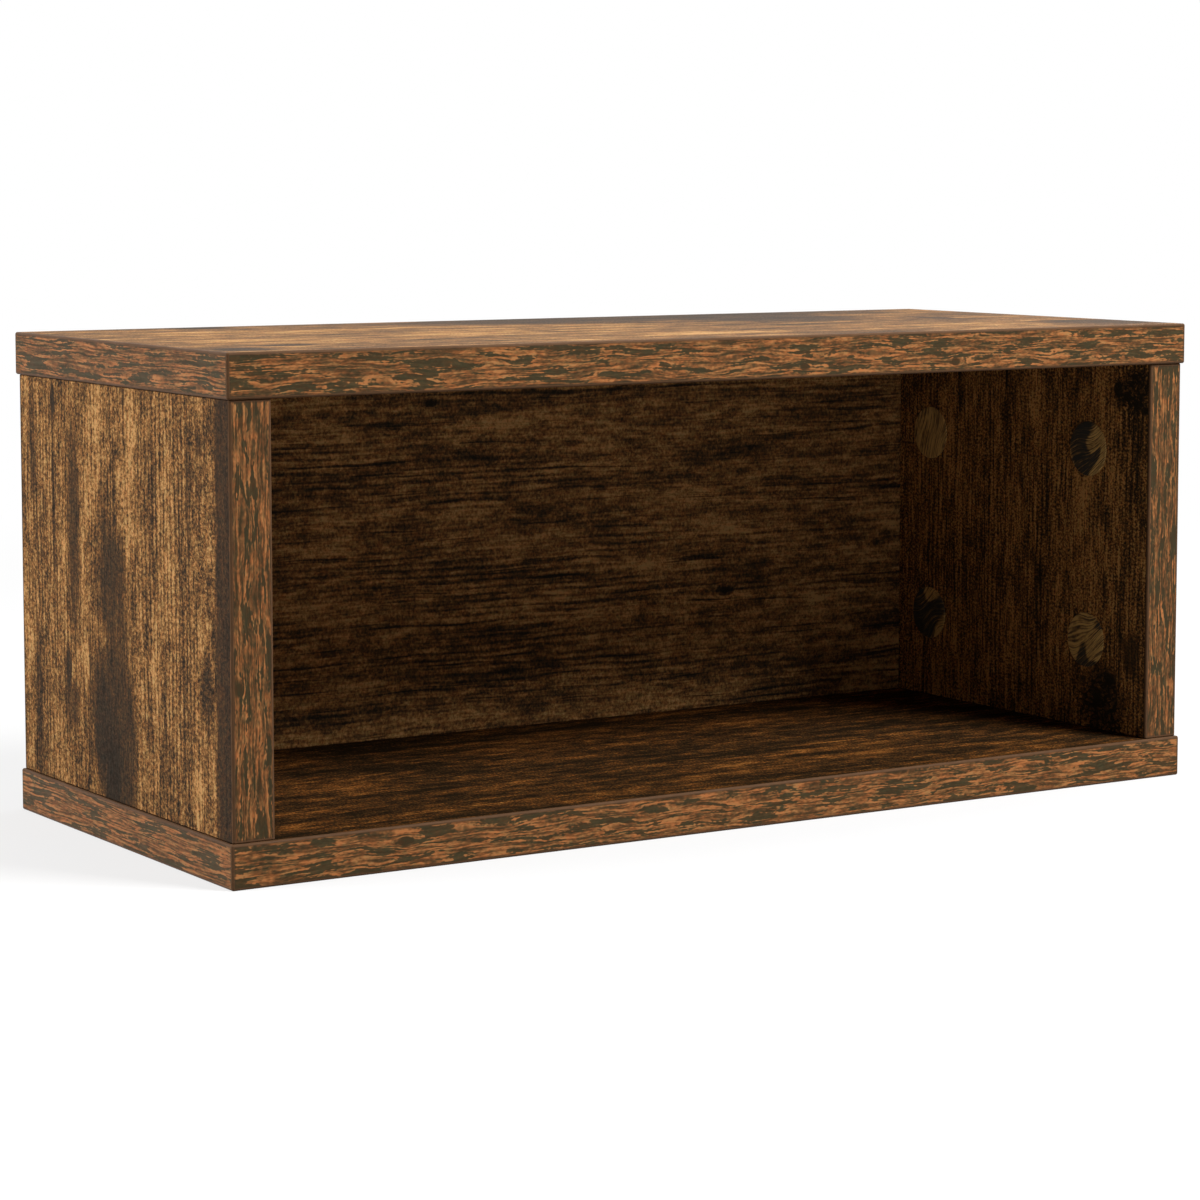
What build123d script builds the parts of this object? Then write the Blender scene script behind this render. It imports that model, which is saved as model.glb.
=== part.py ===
from build123d import *
import math
import os

# CD rack: an open-fronted box of five laminated chipboard boards with glued edge bands.
# Cam locks and dowels draw the two side boards and the back board between top and bottom.
# The origin is on the floor under the middle of the rack. +X runs along the rack, the open
# front faces -Y and +Z is up. All sizes are in millimetres, and all angles in degrees.

# Overall size
WIDTH = 400.0
DEPTH = 170.0
HEIGHT = 172.0

# Boards and edge bands
BOARD = 15.0  # thickness of the top, the bottom and the two side boards
BACK_BOARD = 15.0  # thickness of the back board
OVERHANG = 1.0  # the top and bottom stand out past the sides and the back by this much
BAND = 1.0  # thickness of the edge bands
ARRIS = 0.8  # rounding of the outer edges, inside the thickness of a band
END_ROUND = 0.5  # rounding round the ends of the side boards, a fine groove at each joint
BACK_EASE = 0.25  # chamfer on the edges of the back board

# Where the cam locks and dowels are
FRONT_CAM_INSET = 35.0  # from the front edge of a side board to the front cams
REAR_CAM_INSET = 20.0  # from the face of the back board forward to the rear cams
CAM_REACH = 34.0  # from a joint to the centre of its cams
DOWELS_BETWEEN_CAMS = 2  # dowels in each joint of a side board, evenly spaced
BACK_DOWEL_INSET = 56.0  # from each end of the back board to its dowels

# Cam: a drum that turns in a blind bore and grips the round head of a bolt
CAM_BORE = 15.0  # diameter
BORE_FLOOR = 2.4  # wood left under the cam bore
CAM_PLAY = 0.2  # radial gap between the cam and its bore
CAM_END_GAP = 0.3  # gap above the cam, under its cover, and below it
CAM_TURN = 180.0  # from locked to open
SLOT_MARGIN = 40.0  # the slot goes on this far past the locked bolt
LOCK_RISE = 1.3  # how far the cavity wall comes in from the open side to the locked side
RECESS_LENGTH = 6.4  # cross recess for the screwdriver
RECESS_WIDTH = 1.6
RECESS_FLOOR = 1.0  # metal left under the cross recess

# Bolt: a threaded end, a collar on the face of the board, a shank, a neck and a round head
BOLT_HEAD = 6.6  # diameters
BOLT_NECK = 3.6
BOLT_SHANK = 6.0
BOLT_COLLAR = 7.6
THREAD_CREST = 6.0
THREAD_ROOT = 4.4
COLLAR_LENGTH = 1.2
THREAD_LENGTH = 10.0
THREAD_PITCH = 2.0
BOLT_HOLE = 8.0  # diameter of the hole for the shank, from the joint to the cam bore
HEAD_PLAY = 0.2  # gap between the locked head and the wall of the cavity
NECK_PLAY = 0.4  # gap on each side of the neck in the slot, and of the head in the mouth
NECK_CLEAR = 0.7  # the shank starts this far outside the cam

# Dowels
DOWEL = 8.0  # diameter
DOWEL_IN_FACE = 10.0  # length in the top or bottom board
DOWEL_IN_END = 20.0  # length in the end of a side board or the back board
DOWEL_CHAMFER = 0.8
DRILL_PLAY = 0.05  # radial gap round a dowel or a thread in its hole
DRILL_DEPTH_PLAY = 0.5  # a hole is this much deeper than what goes into it

# Stick-on covers over the cams
COVER = 21.0  # diameter
COVER_THICKNESS = 0.4
COVER_EDGE = 0.1  # chamfer round the edge of a cover

# Sizes that follow from the values above
bay_height = HEIGHT - 2 * BOARD
side_depth = DEPTH - 2 * OVERHANG
side_front_y = -side_depth / 2
inner_x = WIDTH / 2 - OVERHANG - BOARD
back_face_y = side_depth / 2 - BACK_BOARD
front_cam_y = side_front_y + FRONT_CAM_INSET
rear_cam_y = back_face_y - REAR_CAM_INSET

cam_radius = CAM_BORE / 2 - CAM_PLAY
bore_depth = BOARD - BORE_FLOOR
cam_height = bore_depth - 2 * CAM_END_GAP
bolt_depth = BOARD / 2  # the bolts lie in the middle of the side board's thickness
cavity_top = bolt_depth - BOLT_HEAD / 2 - NECK_PLAY  # below the face of the side board
cavity_offset = LOCK_RISE / 2
cavity_radius = BOLT_HEAD / 2 + HEAD_PLAY + cavity_offset

SIDES = {"left": -1, "right": 1}
ENDS = {"bottom": -1, "top": 1}
ROWS = {"front": front_cam_y, "rear": rear_cam_y}


def slab(x_range, y_range, z_range):
    """A box between two values on each axis."""
    size = [high - low for low, high in (x_range, y_range, z_range)]
    middle = [(high + low) / 2 for low, high in (x_range, y_range, z_range)]
    return Pos(*middle) * Box(*size)


def rod(radius, start, end):
    """A cylinder along +Y from start to end."""
    return Pos(0, start, 0) * Rot(-90, 0, 0) * Cylinder(
        radius, end - start, align=(Align.CENTER, Align.CENTER, Align.MIN)
    )


def drill_hole(radius, depth, mouth):
    """A blind hole along Z. Its mouth is at mouth, and a negative depth goes down."""
    low, high = sorted((mouth.Z, mouth.Z + depth))
    hole = Cylinder(radius, high - low, align=(Align.CENTER, Align.CENTER, Align.MIN))
    return Pos(mouth.X, mouth.Y, low) * hole


def joint_z(end):
    """Height of the joint between the side boards and the bottom (-1) or top (1) board."""
    return HEIGHT / 2 + end * bay_height / 2


def cam_place(side, end, y):
    """Frame of one cam lock: z points out of the side board's inner face into the bay,
    y points along the bolt to the joint, and the origin is on the cam's axis."""
    origin = (side * inner_x, y, joint_z(end) - end * CAM_REACH)
    return Plane(origin=origin, x_dir=(0, -side * end, 0), z_dir=(-side, 0, 0)).location


def horizontal_board(bottom_z):
    """The top or bottom board and its four edge bands, cut from one rounded blank.
    The front and back bands run the whole width and cover the ends of the other two."""
    x, y = WIDTH / 2, DEPTH / 2
    heights = (bottom_z, bottom_z + BOARD)
    blank = slab((-x, x), (-y, y), heights)
    blank = fillet(blank.edges(), ARRIS)
    between = (-y + BAND, y - BAND)
    return {
        "board": blank & slab((-x + BAND, x - BAND), between, heights),
        "front_band": blank & slab((-x, x), (-y, -y + BAND), heights),
        "back_band": blank & slab((-x, x), (y - BAND, y), heights),
        "left_band": blank & slab((-x, -x + BAND), between, heights),
        "right_band": blank & slab((x - BAND, x), between, heights),
    }


def side_board(side):
    """A side board and the bands on its front and back edges, cut from one blank."""
    xs = sorted((side * inner_x, side * (inner_x + BOARD)))
    front, back = side_front_y, -side_front_y
    heights = (BOARD, HEIGHT - BOARD)
    blank = slab(xs, (front, back), heights)
    blank = fillet(blank.edges().filter_by(Axis.Z), ARRIS)
    end_faces = blank.faces().sort_by(Axis.Z)
    blank = fillet(end_faces[0].edges() + end_faces[-1].edges(), END_ROUND)
    return {
        "board": blank & slab(xs, (front + BAND, back - BAND), heights),
        "front_band": blank & slab(xs, (front, front + BAND), heights),
        "back_band": blank & slab(xs, (back - BAND, back), heights),
    }


def back_panel():
    """The back board, between the sides, the top and the bottom, with eased edges."""
    xs = (-inner_x, inner_x)
    ys = (back_face_y, back_face_y + BACK_BOARD)
    blank = slab(xs, ys, (BOARD, HEIGHT - BOARD))
    return chamfer(blank.edges(), BACK_EASE)


def cam():
    """A cam in its own frame, locked. Its cavity is a circle set off from the axis, away
    from the bolt, so that a half turn frees the head from the arms beside the slot."""
    downward = (Align.CENTER, Align.CENTER, Align.MAX)
    drum = Pos(0, 0, -CAM_END_GAP) * Cylinder(cam_radius, cam_height, align=downward)
    cavity_height = bore_depth - cavity_top
    cavity = Cylinder(cavity_radius, cavity_height, align=downward)
    drum -= Pos(0, -cavity_offset, -cavity_top) * cavity
    half_slot = BOLT_NECK / 2 + NECK_PLAY
    section = Rectangle(2 * cam_radius, 2 * half_slot, align=(Align.MIN, Align.CENTER))
    section = Plane.XZ * Pos(0, -bolt_depth) * section
    slot = revolve(section, axis=Axis.Z, revolution_arc=CAM_TURN + SLOT_MARGIN)
    drum -= Rot(0, 0, 90 - CAM_TURN) * slot
    mouth_width = BOLT_HEAD + 2 * NECK_PLAY
    mouth = Box(mouth_width, 2 * cam_radius, cavity_height, align=(Align.CENTER, Align.MAX, Align.MAX))
    drum -= Pos(0, 0, -cavity_top) * mouth
    recess_depth = cavity_top - CAM_END_GAP - RECESS_FLOOR
    arm = Box(RECESS_LENGTH, RECESS_WIDTH, recess_depth, align=downward)
    cross = arm + Rot(0, 0, 90) * arm
    return drum - Pos(0, 0, -CAM_END_GAP) * cross


def bolt():
    """A bolt in its cam's frame, turned from one outline about its own axis. Each point is
    a distance from the centre of the head and a radius."""
    head, neck, shank = BOLT_HEAD / 2, BOLT_NECK / 2, BOLT_SHANK / 2
    head_end = math.sqrt(head**2 - neck**2)
    shank_start = cam_radius + NECK_CLEAR
    collar_start = CAM_REACH - COLLAR_LENGTH
    outline = [
        (head_end, neck),
        (shank_start, neck),
        (shank_start, shank),
        (collar_start, shank),
        (collar_start, BOLT_COLLAR / 2),
        (CAM_REACH, BOLT_COLLAR / 2),
        (CAM_REACH, THREAD_ROOT / 2),
    ]
    for turn in range(int(THREAD_LENGTH // THREAD_PITCH)):
        start = CAM_REACH + turn * THREAD_PITCH
        outline.append((start + THREAD_PITCH / 2, THREAD_CREST / 2))
        outline.append((start + THREAD_PITCH, THREAD_ROOT / 2))
    outline.append((outline[-1][0], 0))
    points = [(radius, distance) for distance, radius in outline]
    round_head = ThreePointArc((0, -head), (head, 0), points[0])
    edges = [round_head, Polyline(*points), Line(points[-1], (0, -head))]
    turned = revolve(make_face(edges), axis=Axis.Y)
    return Pos(0, 0, -bolt_depth) * turned


def dowel():
    """A dowel along Z: its joint is at z = 0, and the longer part, in an end, is above."""
    length = DOWEL_IN_FACE + DOWEL_IN_END
    pin = Cylinder(DOWEL / 2, length, align=(Align.CENTER, Align.CENTER, Align.MIN))
    pin = Pos(0, 0, -DOWEL_IN_FACE) * pin
    rims = pin.faces().sort_by(Axis.Z)
    return chamfer(rims[0].edges() + rims[-1].edges(), DOWEL_CHAMFER)


def cover():
    """A thin round cover, stuck on the face of the side board over a cam."""
    disc = Cylinder(COVER / 2, COVER_THICKNESS, align=(Align.CENTER, Align.CENTER, Align.MIN))
    rim = disc.faces().sort_by(Axis.Z)[-1].edges()
    return chamfer(rim, COVER_EDGE)


def fitted_dowel(end, x, y):
    """The dowel at a joint of the bottom or top board, turned so that it fits its holes."""
    turned = Rot(180, 0, 0) if end > 0 else Rot(0, 0, 0)
    return Pos(x, y, joint_z(end)) * turned * dowel()


def dowel_holes(end, x, y):
    """The two holes of one dowel: in the horizontal board, and in the end that stands on it."""
    mouth = Vector(x, y, joint_z(end))
    radius = DOWEL / 2 + DRILL_PLAY
    in_face = drill_hole(radius, end * (DOWEL_IN_FACE + DRILL_DEPTH_PLAY), mouth)
    in_end = drill_hole(radius, -end * (DOWEL_IN_END + DRILL_DEPTH_PLAY), mouth)
    return in_face, in_end


nodes = {}
horizontal = {-1: horizontal_board(0), 1: horizontal_board(HEIGHT - BOARD)}
upright = {side: side_board(side) for side in SIDES.values()}
back_board = back_panel()

# Cam locks: eight alike, each with its bores, cam, bolt and cover
cam_bore = Cylinder(CAM_BORE / 2, bore_depth, align=(Align.CENTER, Align.CENTER, Align.MAX))
shank_hole = Pos(0, 0, -bolt_depth) * rod(BOLT_HOLE / 2, 0, CAM_REACH)
thread_hole_end = CAM_REACH + THREAD_LENGTH + DRILL_DEPTH_PLAY
thread_hole = Pos(0, 0, -bolt_depth) * rod(THREAD_CREST / 2 + DRILL_PLAY, CAM_REACH, thread_hole_end)
bolts = {"top": [], "bottom": []}
for side_name, side in SIDES.items():
    for row_name, row_y in ROWS.items():
        for end_name, end in ENDS.items():
            place = cam_place(side, end, row_y)
            upright[side]["board"] -= place * cam_bore
            upright[side]["board"] -= place * shank_hole
            horizontal[end]["board"] -= place * thread_hole
            bolts[end_name].append(place * bolt())
            nodes[f"cam_{side_name}_{row_name}_{end_name}"] = place * cam()
            nodes[f"cover_{side_name}_{row_name}_{end_name}"] = place * cover()

# Dowels between the cams of each side board, and two in each long edge of the back board
dowels = {"left": [], "right": [], "back": []}
dowel_step = (rear_cam_y - front_cam_y) / (DOWELS_BETWEEN_CAMS + 1)
for end in ENDS.values():
    for side_name, side in SIDES.items():
        for number in range(1, DOWELS_BETWEEN_CAMS + 1):
            spot = (side * (inner_x + BOARD / 2), front_cam_y + number * dowel_step)
            in_face, in_end = dowel_holes(end, *spot)
            horizontal[end]["board"] -= in_face
            upright[side]["board"] -= in_end
            dowels[side_name].append(fitted_dowel(end, *spot))
        spot = (side * (inner_x - BACK_DOWEL_INSET), back_face_y + BACK_BOARD / 2)
        in_face, in_end = dowel_holes(end, *spot)
        horizontal[end]["board"] -= in_face
        back_board -= in_end
        dowels["back"].append(fitted_dowel(end, *spot))

for end_name, end in ENDS.items():
    for piece_name, piece in horizontal[end].items():
        nodes[f"{end_name}_{piece_name}"] = piece
    nodes[f"{end_name}_cam_bolts"] = Compound(children=bolts[end_name])
for side_name, side in SIDES.items():
    for piece_name, piece in upright[side].items():
        nodes[f"{side_name}_side_{piece_name}"] = piece
for group_name, group in dowels.items():
    nodes[f"{group_name}_dowels"] = Compound(children=group)
nodes["back_board"] = back_board

os.makedirs("parts", exist_ok=True)
for name, shape in nodes.items():
    export_step(shape, f"parts/{name}.step")
print(f"{len(nodes)} nodes, cam axes at y = {front_cam_y:.1f} and {rear_cam_y:.1f}")
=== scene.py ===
"""Looks of the CD rack: printed board and edge-band finishes, cam fittings, studio and camera.

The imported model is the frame. Boards, bands and cams keep their own meshes and get finishes here.
Covers, bolts and dowels repeat, so Geometry Nodes make them in the space of the nodes they replace.
Lengths in patterns are in millimetres and all other lengths in metres.
"""

import logging
import math
from dataclasses import dataclass
from enum import Enum
from functools import reduce
from itertools import product
from typing import Any, Sequence

import bmesh
import bpy
from mathutils import Matrix, Vector

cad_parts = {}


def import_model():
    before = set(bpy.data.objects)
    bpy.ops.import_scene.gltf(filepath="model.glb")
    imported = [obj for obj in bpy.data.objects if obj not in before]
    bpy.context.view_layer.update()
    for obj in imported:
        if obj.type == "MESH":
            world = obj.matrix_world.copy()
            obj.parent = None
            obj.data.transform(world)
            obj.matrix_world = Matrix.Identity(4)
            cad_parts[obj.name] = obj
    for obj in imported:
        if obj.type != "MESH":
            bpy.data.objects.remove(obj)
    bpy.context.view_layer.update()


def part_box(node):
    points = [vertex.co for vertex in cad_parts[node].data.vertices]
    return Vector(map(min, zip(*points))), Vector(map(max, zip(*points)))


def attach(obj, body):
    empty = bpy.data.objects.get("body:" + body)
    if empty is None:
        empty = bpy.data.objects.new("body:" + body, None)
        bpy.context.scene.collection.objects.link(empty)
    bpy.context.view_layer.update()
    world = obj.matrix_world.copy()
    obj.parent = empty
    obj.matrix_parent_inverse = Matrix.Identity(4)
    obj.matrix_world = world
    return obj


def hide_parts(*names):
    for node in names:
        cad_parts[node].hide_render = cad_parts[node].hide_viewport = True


log = logging.getLogger("cd_rack")

Triple = tuple[float, float, float]
Colour = tuple[float, float, float]
Pair = tuple[float, float]
Stops = tuple[tuple[float, Colour], ...]
Socket = bpy.types.NodeSocket
Sockets = dict[str, Socket]

MM = 0.001
PER_METRE = 1000.0
ROOT = "rack"
SIDES = {"left": -1, "right": 1}
ROWS = ("front", "rear")
ENDS = {"bottom": -1, "top": 1}
CAM_PLACES = tuple(product(SIDES, ROWS, ENDS))
LONG_EDGES, END_EDGES = ("front", "back"), ("left", "right")

FLOAT, VECTOR, COLOUR = "NodeSocketFloat", "NodeSocketVector", "NodeSocketColor"
SOCKET_KINDS = {"VALUE": FLOAT, "VECTOR": VECTOR, "RGBA": COLOUR}
MIX_FACTOR, MIX_A, MIX_B, MIX_OUT = 0, 6, 7, 2


class Graph:
    """Adds nodes to one tree and joins them, so that a pattern reads as a formula."""

    def __init__(self, tree: bpy.types.NodeTree) -> None:
        """Starts on a shader or geometry node tree."""
        self.tree = tree

    def node(self, kind: str, **settings: Any) -> bpy.types.Node:
        """Adds a node.

        Args:
            kind: The node's type name.
            **settings: Properties to set on it.

        Returns:
            The node.
        """
        made = self.tree.nodes.new(kind)
        for name, value in settings.items():
            setattr(made, name, value)
        return made

    def feed(self, socket: Socket, value: Any) -> None:
        """Gives an input a value, or joins it to another node's output.

        Args:
            socket: The input.
            value: A number, vector, colour, data-block or output socket.
        """
        if isinstance(value, bpy.types.NodeSocket):
            self.tree.links.new(value, socket)
        elif socket.type == "RGBA" and len(value) == 3:
            socket.default_value = (*value, 1.0)
        else:
            socket.default_value = value

    def call(self, kind: str, inputs: dict[str | int, Any], **settings: Any) -> bpy.types.Node:
        """Adds a node and feeds its inputs.

        Args:
            kind: The node's type name.
            inputs: Values by input name or index.
            **settings: Properties to set on the node.

        Returns:
            The node.
        """
        made = self.node(kind, **settings)
        for key, value in inputs.items():
            self.feed(made.inputs[key], value)
        return made

    def math(self, operation: str, a: Any, b: Any = 0.0, c: Any = 0.0) -> Socket:
        """One Math node on up to three values."""
        return self.call("ShaderNodeMath", {0: a, 1: b, 2: c}, operation=operation).outputs[0]

    def sum(self, *terms: Any) -> Socket:
        """Sum of all the values."""
        return reduce(lambda total, term: self.math("ADD", total, term), terms)

    def minus(self, a: Any, b: Any) -> Socket:
        """Difference of two values."""
        return self.math("SUBTRACT", a, b)

    def times(self, a: Any, b: Any) -> Socket:
        """Product of two values."""
        return self.math("MULTIPLY", a, b)

    def away(self, value: Any, gain: Any, middle: float = 0.5) -> Socket:
        """How far a value lies from its middle, times a gain."""
        return self.times(self.minus(value, middle), gain)

    def vector(self, operation: str, a: Any, b: Any = (0.0, 0.0, 0.0)) -> Socket:
        """One Vector Math node: its vector, or its number where the operation is a length."""
        made = self.call("ShaderNodeVectorMath", {0: a, 1: b}, operation=operation)
        return made.outputs["Value" if operation == "LENGTH" else "Vector"]

    def combine(self, x: Any, y: Any, z: Any) -> Socket:
        """A vector from three values."""
        return self.call("ShaderNodeCombineXYZ", {0: x, 1: y, 2: z}).outputs[0]

    def split(self, point: Socket) -> tuple[Socket, Socket, Socket]:
        """The three values of a vector."""
        return tuple(self.call("ShaderNodeSeparateXYZ", {0: point}).outputs)

    def fade(self, value: Any, start: Any, end: Any, low: Any = 0.0, high: Any = 1.0) -> Socket:
        """A smooth step from low at start to high at end, which may lie below start."""
        inputs = {0: value, 1: start, 2: end, 3: low, 4: high}
        return self.call("ShaderNodeMapRange", inputs, interpolation_type="SMOOTHSTEP").outputs[0]

    def mix(self, factor: Any, a: Any, b: Any, blend: str = "MIX") -> Socket:
        """Colour a mixed with a share of colour b."""
        inputs = {MIX_FACTOR: factor, MIX_A: a, MIX_B: b}
        return self.call("ShaderNodeMix", inputs, data_type="RGBA", blend_type=blend).outputs[MIX_OUT]

    def ramp(self, factor: Any, stops: Stops) -> Socket:
        """A colour ramp.

        Args:
            factor: Place on the ramp, from 0 to 1.
            stops: Places and their colours, in order.

        Returns:
            The colour.
        """
        made = self.call("ShaderNodeValToRGB", {0: factor})
        elements = made.color_ramp.elements
        while len(elements) < len(stops):
            elements.new(1.0)
        for element, (place, colour) in zip(elements, stops):
            element.position = place
            element.color = (*colour, 1.0)
        return made.outputs[0]


@dataclass(frozen=True)
class Layer:
    """One layer of smooth noise: its blobs' size on each axis, its gain, and its finer layers."""

    cell: Triple
    gain: float = 1.0
    detail: float = 1.0
    rough: float = 0.5

    def read(self, g: Graph, point: Any) -> Socket:
        """The noise at a point.

        Args:
            g: The graph that it is added to.
            point: Where it is read.

        Returns:
            A value from 0 to 1, about 0.5 on average.
        """
        scaled = g.vector("DIVIDE", point, self.cell)
        inputs = {"Vector": scaled, "Scale": 1.0, "Detail": self.detail, "Roughness": self.rough}
        return g.call("ShaderNodeTexNoise", inputs).outputs[0]

    def swing(self, g: Graph, point: Any) -> Socket:
        """The noise's distance from its middle, times the gain."""
        return g.away(self.read(g, point), self.gain)


class Pattern:
    """A shader node group that is built once and placed in each material with its own values.

    INPUTS gives each input's socket type, or its default where it is a number.
    """

    NAME: str
    INPUTS: dict[str, str | float]

    @classmethod
    def fill(cls, g: Graph, given: Sockets) -> Sockets:
        """Adds the group's nodes.

        Args:
            g: The group's graph.
            given: Its inputs by name.

        Returns:
            Its outputs by name.
        """
        raise NotImplementedError

    @classmethod
    def build(cls) -> bpy.types.NodeTree:
        """Builds the group.

        Returns:
            The group.
        """
        tree = bpy.data.node_groups.new(cls.NAME, "ShaderNodeTree")
        graph = Graph(tree)
        for label, kind in cls.INPUTS.items():
            if isinstance(kind, str):
                tree.interface.new_socket(label, in_out="INPUT", socket_type=kind)
            else:
                tree.interface.new_socket(label, in_out="INPUT", socket_type=FLOAT).default_value = kind
        start = graph.node("NodeGroupInput")
        results = cls.fill(graph, {socket.name: socket for socket in start.outputs if socket.name})
        for label, value in results.items():
            tree.interface.new_socket(label, in_out="OUTPUT", socket_type=SOCKET_KINDS[value.type])
        graph.call("NodeGroupOutput", results)
        return tree

    @classmethod
    def place(cls, g: Graph, **values: Any) -> Sockets:
        """Places the group in a material.

        Args:
            g: The material's graph.
            **values: Values by input name, with _ for a space.

        Returns:
            The group's outputs by name.
        """
        tree = bpy.data.node_groups.get(cls.NAME) or cls.build()
        inputs = {name.replace("_", " "): value for name, value in values.items()}
        made = g.call("ShaderNodeGroup", inputs, node_tree=tree)
        return {output.name: output for output in made.outputs}


class WoodPrint(Pattern):
    """Figure of the smoked-oak print: broad tone, ribs and short fibres along the grain."""

    NAME = "wood_print"
    INPUTS = {"Point": VECTOR, "Push": 0.0, "Curl": 0.0, "Ribs": 0.0, "Figure": 1.0, "Long": 1.0}

    SLOW_BEND = Layer((30.0, 110.0, 20.0), 3.2)
    QUICK_BEND = Layer((8.0, 24.0, 20.0), 1.8)
    CURL_BEND = Layer((2.4, 2.0, 6.0), 7.0)
    BROAD = Layer((9.0, 52.0, 12.0), 1.25, 2.0)
    PATCH = Layer((3.6, 9.0, 11.0), 1.15, 2.0, 0.6)
    STREAK = Layer((1.6, 60.0, 9.0), 0.34, 2.0, 0.6)
    CRACK = Layer((1.3, 46.0, 9.0), -0.22, 0.0)
    CRACK_STEP = (0.70, 0.78)
    VEIN = Layer((3.2, 2.4, 6.0))
    VEIN_STEP = (0.10, 0.02)
    RIB_SPACING = 2.75
    RIB_WOBBLE = Layer((4.0, 40.0, 9.0), 4.0)
    RIB_SHARPNESS = 2.0
    RIBBED = Layer((15.0, 120.0, 15.0))
    RIBBED_STEP = (0.46, 0.62)
    FIBRE = Layer((1.0, 0.95, 2.0), 2.5, 2.0, 0.65)
    DASH = Layer((0.95, 14.0, 4.0), 0.9)

    @classmethod
    def fill(cls, g: Graph, given: Sockets) -> Sockets:
        """Bends the grain, then lays tone, ribs and fibres along it.

        Args:
            g: The group's graph.
            given: Its inputs by name.

        Returns:
            Its outputs by name.
        """
        point, figure, long = given["Point"], given["Figure"], given["Long"]
        across, along, depth = g.split(point)
        curl = g.times(cls.CURL_BEND.swing(g, point), given["Curl"])
        wander = g.sum(cls.SLOW_BEND.swing(g, point), cls.QUICK_BEND.swing(g, point), curl)
        line = g.minus(g.sum(across, wander), given["Push"])
        bent = g.combine(line, along, depth)
        random_part = g.sum(cls.BROAD.swing(g, bent), cls.PATCH.swing(g, bent))
        crack = g.fade(cls.CRACK.read(g, bent), *cls.CRACK_STEP)
        long_part = g.sum(cls.STREAK.swing(g, bent), g.times(crack, cls.CRACK.gain))
        tone = g.sum(0.5, g.times(random_part, figure), g.times(long_part, long))
        vein = g.fade(g.math("ABSOLUTE", cls.VEIN.swing(g, point)), *cls.VEIN_STEP)
        vein = g.times(vein, given["Curl"])
        turns = g.times(line, math.tau / cls.RIB_SPACING)
        phase = g.math("MULTIPLY_ADD", cls.RIB_WOBBLE.read(g, bent), cls.RIB_WOBBLE.gain, turns)
        rib = g.math("POWER", g.math("MULTIPLY_ADD", g.math("SINE", phase), 0.5, 0.5), cls.RIB_SHARPNESS)
        ribbed = g.fade(cls.RIBBED.read(g, bent), *cls.RIBBED_STEP)
        ribbed = g.math("MAXIMUM", g.times(ribbed, g.times(figure, long)), given["Ribs"])
        fine = g.sum(0.5, cls.FIBRE.swing(g, bent), g.times(cls.DASH.swing(g, bent), long))
        return {"Tone": tone, "Rib": g.times(rib, ribbed), "Fibre": fine, "Vein": vein}


class PrintMark(Pattern):
    """One listed feature of the print: a ragged oval, longer along the grain."""

    NAME = "print_mark"
    INPUTS = {
        "Point": VECTOR, "Middle": VECTOR, "Half Size": VECTOR, "Taper": 0.0, "Ragged": 1.2, "Soft": 0.2,
    }

    RIM = Layer((1.3, 9.0, 8.0), 1.0, 2.0, 0.65)
    NARROWEST = 0.12
    SOLID_REACH = 0.55
    PUSH = 0.8
    PUSH_FALL = -0.9

    @classmethod
    def fill(cls, g: Graph, given: Sockets) -> Sockets:
        """Measures the reach from the oval's middle, and how far the grain is pushed round it.

        Args:
            g: The group's graph.
            given: Its inputs by name.

        Returns:
            Its outputs by name.
        """
        offset = g.vector("SUBTRACT", given["Point"], given["Middle"])
        across, along, depth = g.split(g.vector("DIVIDE", offset, given["Half Size"]))
        narrow = g.math("MULTIPLY_ADD", along, given["Taper"], 1.0)
        across = g.math("DIVIDE", across, g.math("MAXIMUM", narrow, cls.NARROWEST))
        reach = g.vector("LENGTH", g.combine(across, along, depth))
        reach = g.sum(reach, g.away(cls.RIM.read(g, given["Point"]), given["Ragged"]))
        near = g.math("EXPONENT", g.times(g.math("POWER", reach, 2.0), cls.PUSH_FALL))
        push = g.times(g.times(g.split(offset)[0], cls.PUSH), near)
        mask = g.fade(reach, g.sum(given["Soft"], 1.0), cls.SOLID_REACH)
        return {"Mask": mask, "Push": push, "Reach": reach}


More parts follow.
